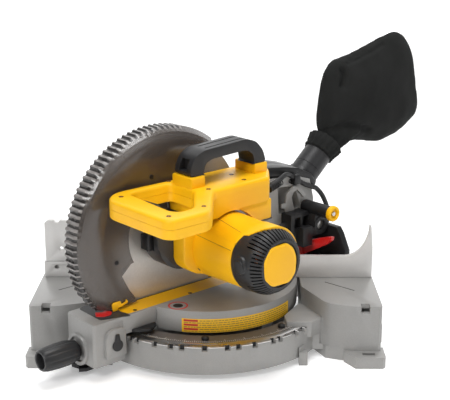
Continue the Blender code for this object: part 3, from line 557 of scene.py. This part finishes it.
def softened(bm, width, segments=2, angle=30):
    """bm with its hard edges rounded."""
    obj = new_object("soft", bm)
    bevel = obj.modifiers.new("bevel", "BEVEL")
    bevel.width = width * MM
    bevel.segments = segments
    bevel.limit_method = "ANGLE"
    bevel.angle_limit = math.radians(angle)
    bevel.use_clamp_overlap = True
    return taken(obj)


def arc(centre, radii, start, end, steps):
    angles = [math.radians(start + (end - start) * i / steps) for i in range(steps + 1)]
    return [(centre[0] + radii[0] * math.cos(a), centre[1] + radii[1] * math.sin(a)) for a in angles]


def piece(name, bm, body, material, place=ARM, replaces=(), smooth=35):
    """A piece of the visible model, riding on a body."""
    bmesh.ops.transform(bm, matrix=place, verts=bm.verts)
    obj = new_object(name, bm)
    obj.data.materials.append(material)
    obj.data.shade_smooth()
    obj.data.set_sharp_from_angle(angle=math.radians(smooth))
    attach(obj, body)
    if replaces:
        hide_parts(*replaces)
    return obj


def refined(node, material, width=0.8, segments=2):
    """A copy of a CAD node with its hard edges rounded, shown in its place."""
    bm = bmesh.new()
    bm.from_mesh(frame["nodes"][node].data)
    bmesh.ops.remove_doubles(bm, verts=bm.verts, dist=0.00002)
    bmesh.ops.dissolve_limit(bm, angle_limit=math.radians(0.5), verts=bm.verts[:], edges=bm.edges[:])
    if width:
        bm = softened(bm, width, segments)
    return piece(f"{node}_shown", bm, BODY_OF[node], material, Matrix.Identity(4), (node,))


def painted(material, *nodes):
    """CAD nodes shown as they are, in a better material."""
    for node in nodes:
        materials = frame["nodes"][node].data.materials
        materials.clear()
        materials.append(material)


def screw(name, at, axis, body, radius, depth=1.4, material=None):
    """A dark screw head with a cross recess, its face flush with at."""
    at, axis = Vector(at), Vector(axis).normalized()
    head = rod(at - axis * depth, at + axis * 0.3, radius, sides=20, bevel=0.35)
    side = axis.orthogonal().normalized()
    slots = []
    for way in (side, axis.cross(side)):
        other = axis.cross(way)
        bm = box((-radius * 0.62, radius * 0.62), (-0.45, 0.45), (-0.9, 1.2))
        turn = Matrix((way, other, axis)).transposed().to_4x4()
        bmesh.ops.transform(bm, matrix=Matrix.Translation(at * MM) @ turn, verts=bm.verts)
        slots.append(bm)
    return piece(name, carved(head, *slots), body, material or black())


# -------------------- power cord

CORD_ON_ARM = [(84, 68.5, 262), (81, 88, 268.5), (74, 110, 273), (67, 126, 269.4), (65.2, 136, 263.8),
               (64.8, 145, 258.4), (64.5, 154, 253), (64.5, 164, 247), (64.5, 175, 241.7), (64.5, 186, 236.8)]
CORD_LOOP = [(64.5, 186.8, 236.4), (64.5, 198, 231.5), (66, 214, 213), (66, 226, 184), (61, 227, 140),
             (60, 223, 110), (60, 222, 94)]
LOOP_MIDDLE_Z = 165
CORD_DOWN = [(206, 102, 78.6), (206, 102.5, 60), (206, 104.5, 44), (205.5, 113, 22), (204, 128, 9), (201, 146, 4.6),
             (194, 168, 4.6), (178, 198, 4.6), (154, 228, 4.6), (126, 256, 4.6), (104, 284, 4.6), (93.5, 311, 4.6)]
CORD_TAIL = [(-2.4, 297.5, 20), (-4, 284, 15), (-10, 270, 9), (-22, 258, 6.5), (-38, 251, 9), (-52, 249.5, 14.5)]
COIL_AT = (40.0, 340.0)
COIL_MIDDLE_R = 46.0
COIL_TURNS = 4.55
TIE_ANGLE = 2.2
PLUG_AT = (-52.0, 249.5, 14.5)


def coil_points():
    """The stored length: turns beside and on each other, one cord's width apart."""
    inner, outer = COIL_MIDDLE_R - CORD_R, COIL_MIDDLE_R + CORD_R
    pitch = 2 * CORD_R + 0.1
    radii = (outer, inner, inner, outer, outer)
    heights = (4.6, 4.6, 4.6 + pitch, 4.6 + pitch, 4.6 + 2 * pitch)
    points = []
    per_turn = 24
    for i in range(int(COIL_TURNS * per_turn) + 1):
        turns = i / per_turn
        turn = min(int(turns), len(radii) - 1)
        step = max(0.0, (turns - turn - 0.84) / 0.16)
        step = step * step * (3 - 2 * step)
        following = min(turn + 1, len(radii) - 1)
        r = radii[turn] + (radii[following] - radii[turn]) * step
        z = heights[turn] + (heights[following] - heights[turn]) * step
        angle = 2 * math.pi * turns
        points.append((COIL_AT[0] + r * math.cos(angle), COIL_AT[1] + r * math.sin(angle), z))
    return points


def cord_curve(name, points, place):
    curve = bpy.data.curves.new(name, "CURVE")
    curve.dimensions = "3D"
    curve.bevel_depth = CORD_R * MM
    curve.bevel_resolution = 5
    curve.use_fill_caps = True
    spline = curve.splines.new("POLY")
    spline.points.add(len(points) - 1)
    for point, at in zip(spline.points, points):
        point.co = (*(place @ (Vector(at) * MM)), 1)
    obj = bpy.data.objects.new(name, curve)
    bpy.context.scene.collection.objects.link(obj)
    curve.materials.append(rubber())
    return obj


def add_free_cord():
    route = smooth_route(CORD_DOWN + coil_points() + CORD_TAIL, 5.5)
    x, y, z = PLUG_AT
    relief = tube([(x + 14, y + 0.4, z - 2), (x, y, z), (x - 24, y, z)], lambda s: 4.6 + 4.4 * s, spacing=3)
    body = turned([(0, -1), (8.5, -1), (9.5, 1), (12.5, 8), (13.6, 18), (13.6, 23), (12.4, 24.5), (0, 24.5)],
                  (x - 20, y, z), (-1, 0, 0), steps=28, ring=False)
    grip = [turned([(11.5, h), (13.6, h + 0.5), (13.6, h + 1.6), (11.5, h + 2.1)], (x - 20, y, z), (-1, 0, 0),
                   steps=28) for h in (5, 9, 13)]
    plug = piece("plug_body", together(relief, body, *grip), "base", rubber(), BASE, ("cord_plug",))
    blades = [box((x - 64, x - 44), (y + side * 7 - 0.8, y + side * 7 + 0.8), (z - 3.3, z + 3.3), 0.4)
              for side in (-1, 1)]
    pins = piece("plug_blades", together(*blades), "base", steel(), BASE)
    obj = cord_curve("free_cord", [tuple(p) for p in route], BASE)
    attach(obj, "base")
    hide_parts("cord_free", "cord_coil")
    across, along = math.cos(TIE_ANGLE), math.sin(TIE_ANGLE)
    tie = tube([(COIL_AT[0] + (COIL_MIDDLE_R + u) * across, COIL_AT[1] + (COIL_MIDDLE_R + u) * along, w)
                for u, w in arc((0, 13.5), (11, 12.2), 0, 360, 16)], 1.2, spacing=3, sides=8)
    piece("coil_tie", tie, "base", black(), BASE)


def add_fixed_cord():
    upper = tube(CORD_ON_ARM, CORD_R, spacing=3, sides=18)
    piece("cord_over_arm", upper, "head", rubber(), replaces=("cord_on_arm",))
    relief = tube([(84.6, 62, 260), (82.8, 78, 265.4), (79.4, 93, 269.8)], lambda s: 7.4 - 2.8 * s, spacing=2.4,
                  sides=18)
    rings = [turned([(4.6, 0), (7.6 - i * 0.45, 0), (7.6 - i * 0.45, 1.8), (4.6, 1.8)],
                    (84, 68 + 4.4 * i, 261.9 + 0.8 * i), (0, 1, 0.2), steps=20) for i in range(6)]
    piece("cord_relief", together(relief, *rings), "head", rubber())
    points = smooth_route(CORD_LOOP, 3)
    split = next(i for i, p in enumerate(points) if p.z < LOOP_MIDDLE_Z)

    def blended(name, stretch, upper_body, replaces=()):
        obj = piece(name, tube(stretch, CORD_R, spacing=3, sides=18), upper_body, rubber(), replaces=replaces)
        obj.parent = None
        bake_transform(obj)

    blended("cord_loop_upper", points[:split + 1], "head", ("cord_loop",))
    blended("cord_loop_lower", points[split:], "trunnion")


# -------------------- base

DETENTS = (-50, -45, -35.3, -31.62, -22.5, -15, -10, 0, 10, 15, 22.5, 31.62, 35.3, 45, 50)


def add_base():
    refined("base_casting", casting(), 1.2)
    refined("detent_plate", steel(), 0.3, 1)
    painted(scale_plate(), "miter_scale")
    painted(black(), "scale_screw_left", "scale_screw_right")
    painted(steel(), "pivot_bolt")
    refined("fence_casting", fence_face(), 1.0)
    refined("sliding_fence", fence_face(), 1.0)
    refined("fence_clamp_knob", black(), 0.8)
    ticks = []
    for degrees in range(-50, 51):
        length = 9 if degrees % 10 == 0 else 6.5 if degrees % 5 == 0 else 4
        ticks.append(spun(box((-0.28, 0.28), (-187, -187 + length), (58.15, 58.35)), degrees, "Z"))
    piece("scale_ticks", together(*ticks), "base", plain("scale_marks", (0.75, 0.74, 0.7), 0.5), BASE)
    # Painted shade: black blocks sit behind the detent notches, which are dark with shade.
    notch_shades = [spun(box((-3.2, 3.2), (-199.9, -199.05), (51.2, 58.1)), degrees, "Z") for degrees in DETENTS]
    piece("notch_shade_blocks", together(*notch_shades), "base", black(), BASE)
    # Painted shade: black strips lie along the wings' two grooves, which are dark with shade.
    grooves = [spun(box((-30, 30), (-0.9, 0.9), (TABLE_Z - 0.6, TABLE_Z + 0.15)), -40.7 * side, "Z",
                    (side * 222.9, -42, 0)) for side in (1, -1)]
    piece("wing_groove_shade", together(*grooves), "base", plain("groove_shade_black", (0.01, 0.01, 0.01), 0.6), BASE)


# -------------------- turntable


def add_turntable():
    refined("turntable", casting(), 1.2)
    add_label_band()
    add_table_details()
    for node in ("kerf_plate_left", "kerf_plate_right"):
        refined(node, yellow(), 0.4, 1)
    refined("miter_pointer", black(), 0.8)
    refined("side_plug", charcoal(), 0.8)
    add_knob()
    painted(steel(), "miter_lock_rod", "detent_pawl")
    refined("detent_lever", black(), 1.2)
    refined("bevel_bracket", black(), 1.5)
    refined("bevel_pivot_bolt", steel(), 0.6)
    refined("bevel_clamp_lever", red(), 2.0, 3)
    refined("cord_gland", black(), 0.6)
    refined("cord_clip", black(), 0.8)


def add_label_band():
    """A plain yellow band on the table's rim with rows of small dashes."""
    from_angle, to_angle = -14.0, 61.0
    low, high, face = 60.6, 83.5, TABLE_R + 0.2

    def strip(start, end, bottom, top, radius):
        # Angles run from straight ahead of the base, positive to the right.
        profile = [(radius - 0.3, bottom), (radius, bottom), (radius, top), (radius - 0.3, top)]
        steps = max(2, int((end - start) / 2))
        return turned(profile, (0, 0, 0), "Z", sweep=(start - 90, end - 90), steps=steps)

    piece("label_band", strip(from_angle, to_angle, low, high, face + 0.3), "turntable",
          surface("label_yellow", (0.86, 0.5, 0.01), (0.78, 0.44, 0.01), (0.3, 0.4)), BASE)
    dashes, headings = [], []
    random.seed(7)
    for row in range(6):
        z = 80.4 - row * 3.6
        angle = from_angle + 1.2
        if row % 2 == 0:
            headings.append(strip(angle, angle + 8.5, z - 1.7, z + 1.7, face + 0.45))
            angle += 9.5
        while angle < to_angle - 3:
            width = random.uniform(1.0, 3.2)
            dashes.append(strip(angle, angle + width, z - 0.7, z + 0.7, face + 0.4))
            angle += width + 0.45
    piece("label_dashes", together(*dashes), "turntable", plain("label_brown", (0.3, 0.19, 0.03), 0.5), BASE)
    piece("label_heads", together(*headings), "turntable", plain("label_red", (0.5, 0.03, 0.02), 0.5), BASE)


def add_table_details():
    """Front tab and screws of the kerf plates, the red flat piece, the dark insert and a plain ring mark."""
    insert = [(-25, -245), (-30, -232), (-24, -222), (38, -199), (51, -199), (35, -246)]
    piece("front_insert", plate(rounded(insert, 3), TABLE_Z - 0.3, TABLE_Z + 0.4), "turntable", dark_casting())
    flat = [(6, -236), (13, -227), (9.7, -219.5), (20.3, -213.6), (29.2, -221.8), (28.6, -234.6), (20.4, -243.9)]
    piece("red_flat", plate(rounded(flat, 2), TABLE_Z, TABLE_Z + 1.6, high_edge=0.5), "turntable", red())
    tab = [(-212, 97), (-214, 108), (-211, 111), (-198, 111), (-196, 105), (-188, 107), (-186, 111), (-183, 106),
           (-196, 101.5), (-203, 101), (-203, 97)]
    piece("kerf_tab", plate(tab, 20, 22.5, SIDE, low_edge=0.3, high_edge=0.5), "turntable", yellow())
    for i, (x, y) in enumerate(((36.6, -180.8), (37.6, -69.2), (-18, -180.8), (-18, -69.2))):
        screw(f"kerf_screw_{i}", (x, y, TABLE_Z + 0.1), (0, 0, 1), "turntable", 3.4)
    ring = turned([(13.5, 96.0), (16, 96.0), (16, 96.3), (13.5, 96.3)], (67.2, -118.2, 0), "Z", steps=48)
    piece("ring_mark", ring, "turntable", red())
    piece("ring_middle", rod((67.2, -118.2, 96), (67.2, -118.2, 96.25), 8), "turntable", black())
    piece("arm_side", box((43.6, 47.2), (-212, -147), (66, 95.6), bevel=0.6), "turntable", casting())
    slot = box((3.4, 4.5), (-199, 29), (95.0, 96.05))
    piece("kerf_shadow", slot, "turntable", black())


def add_knob():
    """Fluted miter lock knob with a hollow end."""
    centre = Vector((5.3, -272, 45))
    profile = [(0, 0.5), (13, 0.5), (15.5, 2), (16.5, 6), (18.5, 12), (20, 22), (20, 40), (18.6, 58), (17, 64),
               (15.5, 66), (13, 66), (12, 64.5), (12, 56), (0, 56)]
    bm = turned(profile, centre, (0, -1, 0), steps=96, ring=False)
    for vertex in bm.verts:
        local = vertex.co / MM - centre
        along = -local.y
        out = Vector((local.x, 0, local.z))
        if out.length > 13.5 and 8 < along < 62:
            angle = math.atan2(out.z, out.x)
            fade = min(1, (along - 8) / 8, (62 - along) / 8)
            dip = max(0, math.cos(angle * 9)) ** 2 * 1.6 * fade
            vertex.co = (centre + Vector((0, local.y, 0)) + out * (1 - dip / out.length)) * MM
    piece("miter_knob_shown", bm, "miter_knob", charcoal(), replaces=("miter_lock_knob",), smooth=50)


# -------------------- trunnion


def add_trunnion():
    refined("trunnion", black(), 1.5)
    refined("pivot_shaft", steel(), 0.8)
    hook = [(114.8, 210.5), (114.6, 217.7), (124, 217.6), (126, 234), (142, 246), (156, 243), (175, 224),
            (169, 220), (152, 237), (143, 234), (139, 226), (146.6, 199), (161.6, 192), (161, 186), (127, 186),
            (122, 209)]
    piece("pin_bracket", plate(hook, 59.8, 63, SIDE, high_edge=0.6), "trunnion", casting())
    refined("lock_pin_sleeve", black(), 0.8)
    refined("lock_pin", steel(), 0.6)
    refined("lock_pin_knob", yellow(), 1.0)


# -------------------- head


def add_arm():
    refined("saw_arm", casting(), 1.5)
    painted(steel(), "return_spring")
    refined("upper_guard", casting(), 0.8)
    refined("gear_case", dark_casting(), 1.5)
    closing = [(-152, 226), (-150, 196), (-120, 168), (-97, 157), (-62, 152), (-60, 243), (-110, 244)]
    piece("gear_case_cover", plate(rounded(closing, 6), 57.4, 60.2, SIDE), "head", dark_casting())
    for i, (y, z) in enumerate(((137.4, 254.7), (184, 240))):
        screw(f"arm_screw_{i}", (59, y, z), (1, 0, 0), "head", 3.6)


def add_blade():
    """Steel disc with hooked, tipped teeth, and what turns with it."""
    outline = []
    for i in range(TEETH):
        base = 360 * i / TEETH
        for share, radius in ((0.0, 151.2), (0.12, 145.5), (0.5, 143.5), (0.7, 148.5), (0.98, 150.2)):
            angle = math.radians(base + share * 360 / TEETH)
            outline.append((ARBOR[0] + radius * math.cos(angle), ARBOR[1] + radius * math.sin(angle)))
    bore = arc(ARBOR, (12.8, 12.8), 0, 350, 35)
    disc = plate(outline, -0.8, 0.8, SIDE, holes=(bore,))
    tips = [spun(box((-1.2, 1.2), (-2.2, 0.0), (146, 152.3)), 360 * i / TEETH, "X", (0, *ARBOR))
            for i in range(TEETH)]
    piece("blade_shown", together(disc, *tips), "spindle", blade_steel(), replaces=("saw_blade",), smooth=25)
    painted(steel(), "inner_flange", "spindle", "spindle_gear", "arbor_bolt")
    painted(dark_casting(), "outer_flange", "stator")
    painted(copper(), "armature")
    painted(black(), "motor_fan")


GUARD_FROM, GUARD_TO = -60.0, 127.0
RIB_PITCH = 3.5
PLAIN_TIP = 24.0
GUARD_SCREWS = [(-199.5, 174.4), (-127.7, 300.8)]


def add_lower_guard():
    """Smoky guard with ribs across its rim and a plain tip."""
    wall, rim_in = 2.0, 166.6
    step = RIB_PITCH / 4
    steps = round((GUARD_TO - GUARD_FROM) / step)
    bm = bmesh.new()
    rows = []
    for i in range(steps + 1):
        degrees = GUARD_FROM + (GUARD_TO - GUARD_FROM) * i / steps
        raised = i % 4 in (1, 2) or degrees > GUARD_TO - PLAIN_TIP
        rim = 173.0 if raised else 170.8
        flare = 0.0 if raised else 0.9
        section = [(77, -17), (150, -17), (152, -18), (rim - 1, -20 + flare), (rim, -19 + flare), (rim, 4 - flare),
                   (168.6, 9), (164.5, 14), (157, 16.8), (150, 18), (124, 18), (122, 17), (77, 17),
                   (77, 18 - wall - 1), (149, 18 - wall - 1), (155, 17 - wall), (162, 12), (rim_in, 8),
                   (rim_in, -17 + wall), (151, -16 + wall), (149, -17 + wall), (77, -17 + wall)]
        angle = math.radians(degrees)
        rows.append([bm.verts.new((n * MM, -r * MM * math.cos(angle), r * MM * math.sin(angle))) for r, n in section])
    bmesh.ops.translate(bm, vec=Vector((0, *ARBOR)) * MM, verts=bm.verts)
    skinned(bm, rows)
    lean = spun(box((-400, 400), (-400, 200), (-200, 7)), BEVEL_MAX, "Y", (0, 0, TABLE_Z))
    flat = box((-40, 40), (-400, 200), (0, TABLE_Z + 4))
    notch = plate([(-172, 166), (-190, 149), (-183, 135), (-176, 122), (-165, 107), (-158, 88), (-90, 88),
                   (-110, 140), (-140, 172)], -20, 20, SIDE)
    bm = carved(bm, lean, flat, notch)
    guard = piece("lower_guard_shown", bm, "lower_guard", smoke(), replaces=("lower_guard",), smooth=30)
    # Painted light on the rim: the lit rib crests get the lighter smoke, and the shaded gaps between them get the
    # darker one.
    guard.data.materials.append(smoke_rib_highlight())
    guard.data.materials.append(smoke_gap_shade())
    back = (ARM @ Matrix.Translation(Vector((0, *ARBOR)) * MM)).inverted()
    for face in guard.data.polygons:
        at = back @ face.center
        radius = math.hypot(at.y, at.z)
        if radius < 151.5 * MM or (at.x > 4.5 * MM and radius < 169 * MM):
            continue
        degrees = math.degrees(math.atan2(at.z, -at.y))
        share = (degrees - GUARD_FROM) / RIB_PITCH % 1
        if degrees > GUARD_TO - PLAIN_TIP:
            continue
        face.material_index = 1 if 0.2 < share < 0.6 else 2
    hub = turned([(20.6, 14.5), (28, 14.5), (28, 18), (20.6, 18)], (0, *ARBOR), "X", steps=40)
    spoke = turned([(25, 16), (82, 16), (82, 18), (25, 18)], (0, *ARBOR), "X", sweep=(92, 124), steps=10)
    piece("guard_hub", together(hub, spoke), "lower_guard", steel())
    for i, (y, z) in enumerate(GUARD_SCREWS):
        screw(f"guard_screw_{i}", (18, y, z), (1, 0, 0), "lower_guard", 3.6)


CAP_FINS = 50
BARREL_R, BARREL_START, BARREL_LENGTH, BARREL_NARROWING = 57, 60.8, 111, 3.5
# The yellow barrel reaches further over the black cap on its top and rear: (angle, end) pairs.
BARREL_END = [(-110, 173), (25, 173), (50, 181), (52.5, 182), (54, 190), (70, 200), (85, 207), (100, 209),
              (195, 209), (215, 173), (250, 173)]
BAND = [(-120, 222), (-120, 174), (-114, 163), (-98, 151), (-76, 144.5), (-52, 142.6), (-26, 143.2), (-10, 149),
        (2, 166), (4, 186), (-2, 212), (-14, 228), (-36, 242), (-84, 243), (-108, 238)]


def barrel_radius(x):
    return BARREL_R - (x - BARREL_START) * BARREL_NARROWING / BARREL_LENGTH


def between(table, at):
    for (x0, y0), (x1, y1) in zip(table, table[1:]):
        if at <= x1:
            return y0 + (y1 - y0) * (at - x0) / (x1 - x0)
    return table[-1][1]


def add_motor():
    """Yellow barrel with a band round the gear case."""
    bm = bmesh.new()
    rows = []
    steps = 180
    for i in range(steps):
        degrees = -110 + 360 * i / steps
        end = between(BARREL_END, degrees)
        points = [(45, 60.5), (56.6, 60.5)]
        lip = min(175, end - 1.6)
        for x in (62, 110, min(171, lip - 1), lip, (lip + end) / 2, end - 0.7, end):
            radius = barrel_radius(x) if x < 174.5 else 55.2
            points.append((radius - (0.8 if x == end else 0), x))
        points.append((45, end))
        angle = math.radians(degrees)
        rows.append([bm.verts.new((x * MM, -r * MM * math.cos(angle), r * MM * math.sin(angle))) for r, x in points])
    bmesh.ops.translate(bm, vec=Vector((0, *MOTOR)) * MM, verts=bm.verts)
    skinned(bm, rows, closed=True)
    band = plate(rounded(BAND, 8), 60.4, 87.4, SIDE, high_edge=2.5)
    band = carved(band, rod((50, *MOTOR), (95, *MOTOR), 45, sides=64),
                  rod((50, -78, 198), (84, -78, 198), 34, sides=48))
    piece("motor_housing_shown", together(bm, band), "head", yellow(), replaces=("motor_housing",))
    # Painted shade: two thin darker yellow tubes lie along the barrel where its creases fall in shade; the barrel has
    # no fold there.
    creases = []
    for start, end, low, high in ((102, 174, 66.5, 55), (90, 170, 26, 21)):
        points = []
        for k in range(9):
            x = start + (end - start) * k / 8
            angle = math.radians(low + (high - low) * k / 8)
            radius = barrel_radius(x)
            points.append((x, MOTOR[0] - radius * math.cos(angle), MOTOR[1] + radius * math.sin(angle)))
        creases.append(tube(points, 0.45, 6, 6))
    piece("motor_crease_shade", together(*creases), "head", crease_shade(), smooth=60)


def add_motor_cap():
    profile = [(0, 218), (40, 218), (45, 208), (45, 172.3), (51.4, 172.3), (52, 172.9), (54, 178), (54, 184),
               (52.6, 206), (51.2, 212), (48, 218), (44.5, 223.4), (41, 227.4), (39.6, 228.3), (35.4, 228.3),
               (35, 227.6), (35, 226), (0, 226)]
    cap = turned(profile, (0, *MOTOR), "X", steps=144, ring=False)
    slots = []
    for i in range(CAP_FINS):
        degrees = 360 * i / CAP_FINS
        from_front = abs((degrees + 180) % 360 - 180)
        start = 213 if from_front < 30 else 199
        slots.append(spun(box((start, 232), (-1.15, 1.15), (39.8, 60)), 90 - degrees, "X", (0, *MOTOR)))
    cap = carved(cap, together(*slots))
    piece("motor_cap_shown", cap, "head", charcoal(), replaces=("motor_end_cap",), smooth=28)
    badge = rounded([(-83, 205), (-69, 224), (-36, 225), (-22, 214), (-15, 198), (-16.5, 173), (-29, 160),
                     (-65, 161), (-81, 176)], 6)
    piece("badge_shown", plate(badge, 225.5, 229.2, SIDE, high_edge=1.2), "head", yellow(),
          replaces=("end_cap_badge",))
    rim = rounded([(-79, 204), (-67, 220), (-38, 221), (-26, 211.5), (-19.5, 197), (-21, 175), (-32, 164.5),
                   (-63, 165), (-77, 178)], 6)
    piece("badge_face", plate(rim, 228.9, 229.5, SIDE, high_edge=0.3), "head",
          surface("badge_face", (0.88, 0.46, 0.004), (0.8, 0.4, 0.003), (0.34, 0.44), shine=0.3))
    for node in ("brush_cap_front", "brush_cap_rear"):
        refined(node, charcoal(), 1.5)
    boss = rod((194, MOTOR[0] - 46, MOTOR[1] + 2), (194, MOTOR[0] - 55.4, MOTOR[1] + 2.4), 16.5, 13.5, sides=48,
               bevel=1.2)
    piece("brush_boss", boss, "head", charcoal())
    for i, (x, degrees) in enumerate(((85.5, -39), (95, 32))):
        angle = math.radians(degrees)
        out = Vector((0, -math.cos(angle), math.sin(angle)))
        screw(f"motor_screw_{i}", Vector((x, *MOTOR)) + out * (barrel_radius(x) + 0.4), out, "head", 4.2 - i)


# Handle plan: the D loop in front and the top housing behind it, and both as one outline.
BOW = [(24, -194), (28, -212), (42, -228), (60, -235), (184, -235), (196, -226), (196, -165), (189, -150),
       (116, -83.6)]
REAR = [(116, 34), (108, 42), (70, 76)]
LOOP = [(24, -101), *BOW, (116, -101)]
HOUSING = [(24, 70), (24, -100), (116, -100), *REAR]
WHOLE = [(24, 70), *BOW, *REAR]
OPENING = [(40, -108), (40, -180), (50, -192), (158, -199), (167, -190), (165, -166), (112, -121), (98, -108)]
HANDLE_SCREWS = [(52, -212), (30, -104), (176, -219), (171, -150), (106, -86), (64, -2), (101, -8)]


def add_handle():
    opening = rounded(OPENING, 9)

    def cleared(bm):
        return carved(bm, box((10, 59.4), (6.2, 90), (230, 268.4)), rod((55, *MOTOR), (130, *MOTOR), 59.5, sides=96))

    upper = cleared(plate(rounded(WHOLE, 9), 277.3, 292, holes=(opening,), high_edge=5.5, segments=4))
    inside = rounded([(28, 64), (28, -95), (112, -95), (112, 32), (68, 71)], 4)
    walls = cleared(plate(rounded(HOUSING, 6), 245, 278, holes=(inside,), low_edge=1))
    skirt = cleared(box((104, 116), (-34, 40), (222, 256), bevel=3))
    feet = [box((41, 90), (-106, -78), (285, 308.2), bevel=2.5), box((36, 86), (30, 58), (285, 308.2), bevel=2.5)]
    piece("handle_upper_shown", together(upper, walls, skirt, *feet), "head", yellow(), replaces=("handle_upper",))
    lower = plate(rounded(LOOP, 9), 262, 276.9, holes=(opening,), low_edge=5.5, segments=4)
    lower = carved(lower, box((20, 120), (-100.3, -60), (240, 300)))
    piece("handle_lower_shown", lower, "head", yellow(), replaces=("handle_lower",))
    # Painted shade: the screw heads take the dark brownish yellow of their shaded holes.
    for i, (x, y) in enumerate(HANDLE_SCREWS):
        screw(f"handle_screw_{i}", (x, y, 292.1), (0, 0, 1), "head", 3.9, material=recess())


def add_carry_handle():
    outer = [(-104, 308.3), (-102, 325), (-92, 340), (-76, 347), (14, 352), (34, 345), (49, 329), (56, 308.3)]
    inner = [(31, 308.3), (28, 324), (18, 332), (8, 334), (-60, 331), (-72, 326), (-78, 308.3)]
    grip = plate(rounded(outer, 7) + rounded(inner, 5), 46, 84, SIDE, low_edge=5, high_edge=5, segments=3)
    slots = [box((55, 58), (-66, 16), (344, 356)), box((72, 75), (-66, 16), (344, 356))]
    window = box((56, 74), (-120, -92), (316, 334))
    piece("carry_handle_shown", carved(grip, *slots, window), "head", charcoal(), replaces=("carry_handle",))


def add_controls():
    refined("trigger", charcoal(), 2.5, 3)
    refined("spindle_lock_button", black(), 0.5)


# -------------------- dust bag

TUBE_DIR = Vector((0.0, 0.758, 0.652)).normalized()
TUBE_AT = Vector((-8.0, 238.5, 237.5))


def add_dust_tube():
    refined("dust_nozzle", black(), 1.5)
    cover = [(66, 268.4), (66, 287), (96, 285), (130, 280), (162, 273), (192, 258), (206, 240), (200, 232),
             (184, 248), (156, 262), (96, 268.4)]
    piece("rear_cover", plate(rounded(cover, 4), 20, 57, SIDE, low_edge=2, high_edge=2), "head", black())
    pipe = turned([(24, 0.2), (26, 0.2), (26, 12), (25.4, 12.5), (25.4, 13.5), (26, 14), (26, 45.6), (25.2, 46.2),
                   (25.2, 47.4), (26, 48), (26, 66), (24, 66)], TUBE_AT, TUBE_DIR, steps=64)
    piece("dust_tube_shown", pipe, "head", charcoal(), replaces=("dust_tube",))


def add_dust_bag():
    """A flat sewn bag with a gathered neck, filled by cloth pressure."""
    bm = bmesh.new()
    bm.from_mesh(frame["nodes"]["dust_bag"].data)
    bmesh.ops.transform(bm, matrix=ARM.inverted(), verts=bm.verts)
    bag = new_object("bag_start", bm)
    remesh = bag.modifiers.new("remesh", "REMESH")
    remesh.mode = "VOXEL"
    remesh.voxel_size = 6 * MM
    smooth = bag.modifiers.new("smooth", "SMOOTH")
    smooth.factor = 0.5
    smooth.iterations = 4
    bag = new_object("bag_start", taken(bag))
    start = [v.co.copy() for v in bag.data.vertices]
    simulate(bag, start, pressure=1.5, cap=3 * MM)
    bm = bmesh.new()
    bm.from_mesh(bag.data)
    bpy.data.objects.remove(bag, do_unlink=True)
    bmesh.ops.subdivide_edges(bm, edges=bm.edges[:], cuts=1, use_grid_fill=True, smooth=0.6)
    crumple(bm)
    obj = piece("dust_bag_shown", bm, "head", cloth(), replaces=("dust_bag",), smooth=180)
    axis = TUBE_DIR
    neck = turned([(26.2, 48), (28.4, 49), (29.4, 52), (28.2, 56), (30.4, 60), (31, 64), (34, 74), (30, 78),
                   (26.2, 66)], TUBE_AT, axis, steps=96)
    for vertex in neck.verts:
        local = vertex.co / MM - TUBE_AT
        radial = local - axis * local.dot(axis)
        if radial.length > 27:
            angle = math.atan2(radial.x, radial.dot(Vector((0, -axis.z, axis.y))))
            vertex.co += radial.normalized() * 1.1 * MM * math.sin(angle * 15)
    piece("bag_collar", neck, "head", cloth(), smooth=70)


def simulate(obj, start, pressure, cap):
    """Lets pressure fill the cloth, with no point moving further than cap."""
    cloth_mod = obj.modifiers.new("cloth", "CLOTH")
    cloth_mod.settings.use_pressure = True
    cloth_mod.settings.uniform_pressure_force = pressure
    cloth_mod.settings.effector_weights.gravity = 0
    cloth_mod.settings.quality = 5
    scene = bpy.context.scene
    for number in range(1, 19):
        scene.frame_set(number)
    bm = evaluated_bmesh(obj)
    for vertex, before in zip(bm.verts, start):
        moved = vertex.co - before
        if moved.length > cap:
            vertex.co = before + moved.normalized() * cap
    obj.modifiers.clear()
    bm.to_mesh(obj.data)
    bm.free()
    scene.frame_set(1)


# Folds pressed into the bag's two faces: their lines in (y, z), half width and depth.
FOLDS = [([(317, 421), (319, 409), (314, 393)], 5, 9),
         ([(330, 433), (354, 438), (392, 448), (429, 458)], 4, 4.5),
         ([(288, 312), (314, 319), (333, 319), (356, 314), (388, 298)], 7, 9)]


def fold_depth(at):
    depth = 0.0
    for points, width, deep in FOLDS:
        nearest = 1000.0
        for a, b in zip(points, points[1:]):
            a, b = Vector(a), Vector(b)
            share = max(0.0, min(1.0, (at - a).dot(b - a) / (b - a).length_squared))
            nearest = min(nearest, (a.lerp(b, share) - at).length)
        depth += deep * math.exp(-(nearest / width) ** 2)
    return depth


def crumple(bm):
    """Soft folds: broad waves down the bag, the drawn folds and gathers at the neck."""
    mouth = TUBE_AT + TUBE_DIR * 70
    bm.normal_update()
    for vertex in bm.verts:
        at = vertex.co / MM
        side = 1 if at.x > TUBE_AT.x else -1
        fold = noise.noise(Vector((at.y * 0.014, at.z * 0.02, side * 3.1))) * 6
        fold += noise.noise(Vector((at.y * 0.045, at.z * 0.03, side * 7.7))) * 2.2
        near = max(0, 1 - (at - mouth).length / 90)
        gather = 3.5 * near * math.sin(math.atan2(at.z - 250, at.y - 300) * 16)
        vertex.co.x += side * (fold + gather) * MM * 0.8
        vertex.co -= vertex.normal * fold_depth(Vector((at.y, at.z))) * MM
        squeeze = near ** 1.5 * 0.35
        vertex.co.x -= (vertex.co.x - TUBE_AT.x * MM) * squeeze


# -------------------- assembly

add_camera()
add_free_cord()
add_fixed_cord()
add_studio()
add_base()
add_turntable()
add_trunnion()
add_arm()
add_blade()
add_lower_guard()
add_motor()
add_motor_cap()
add_handle()
add_carry_handle()
add_controls()
add_dust_tube()
add_dust_bag()
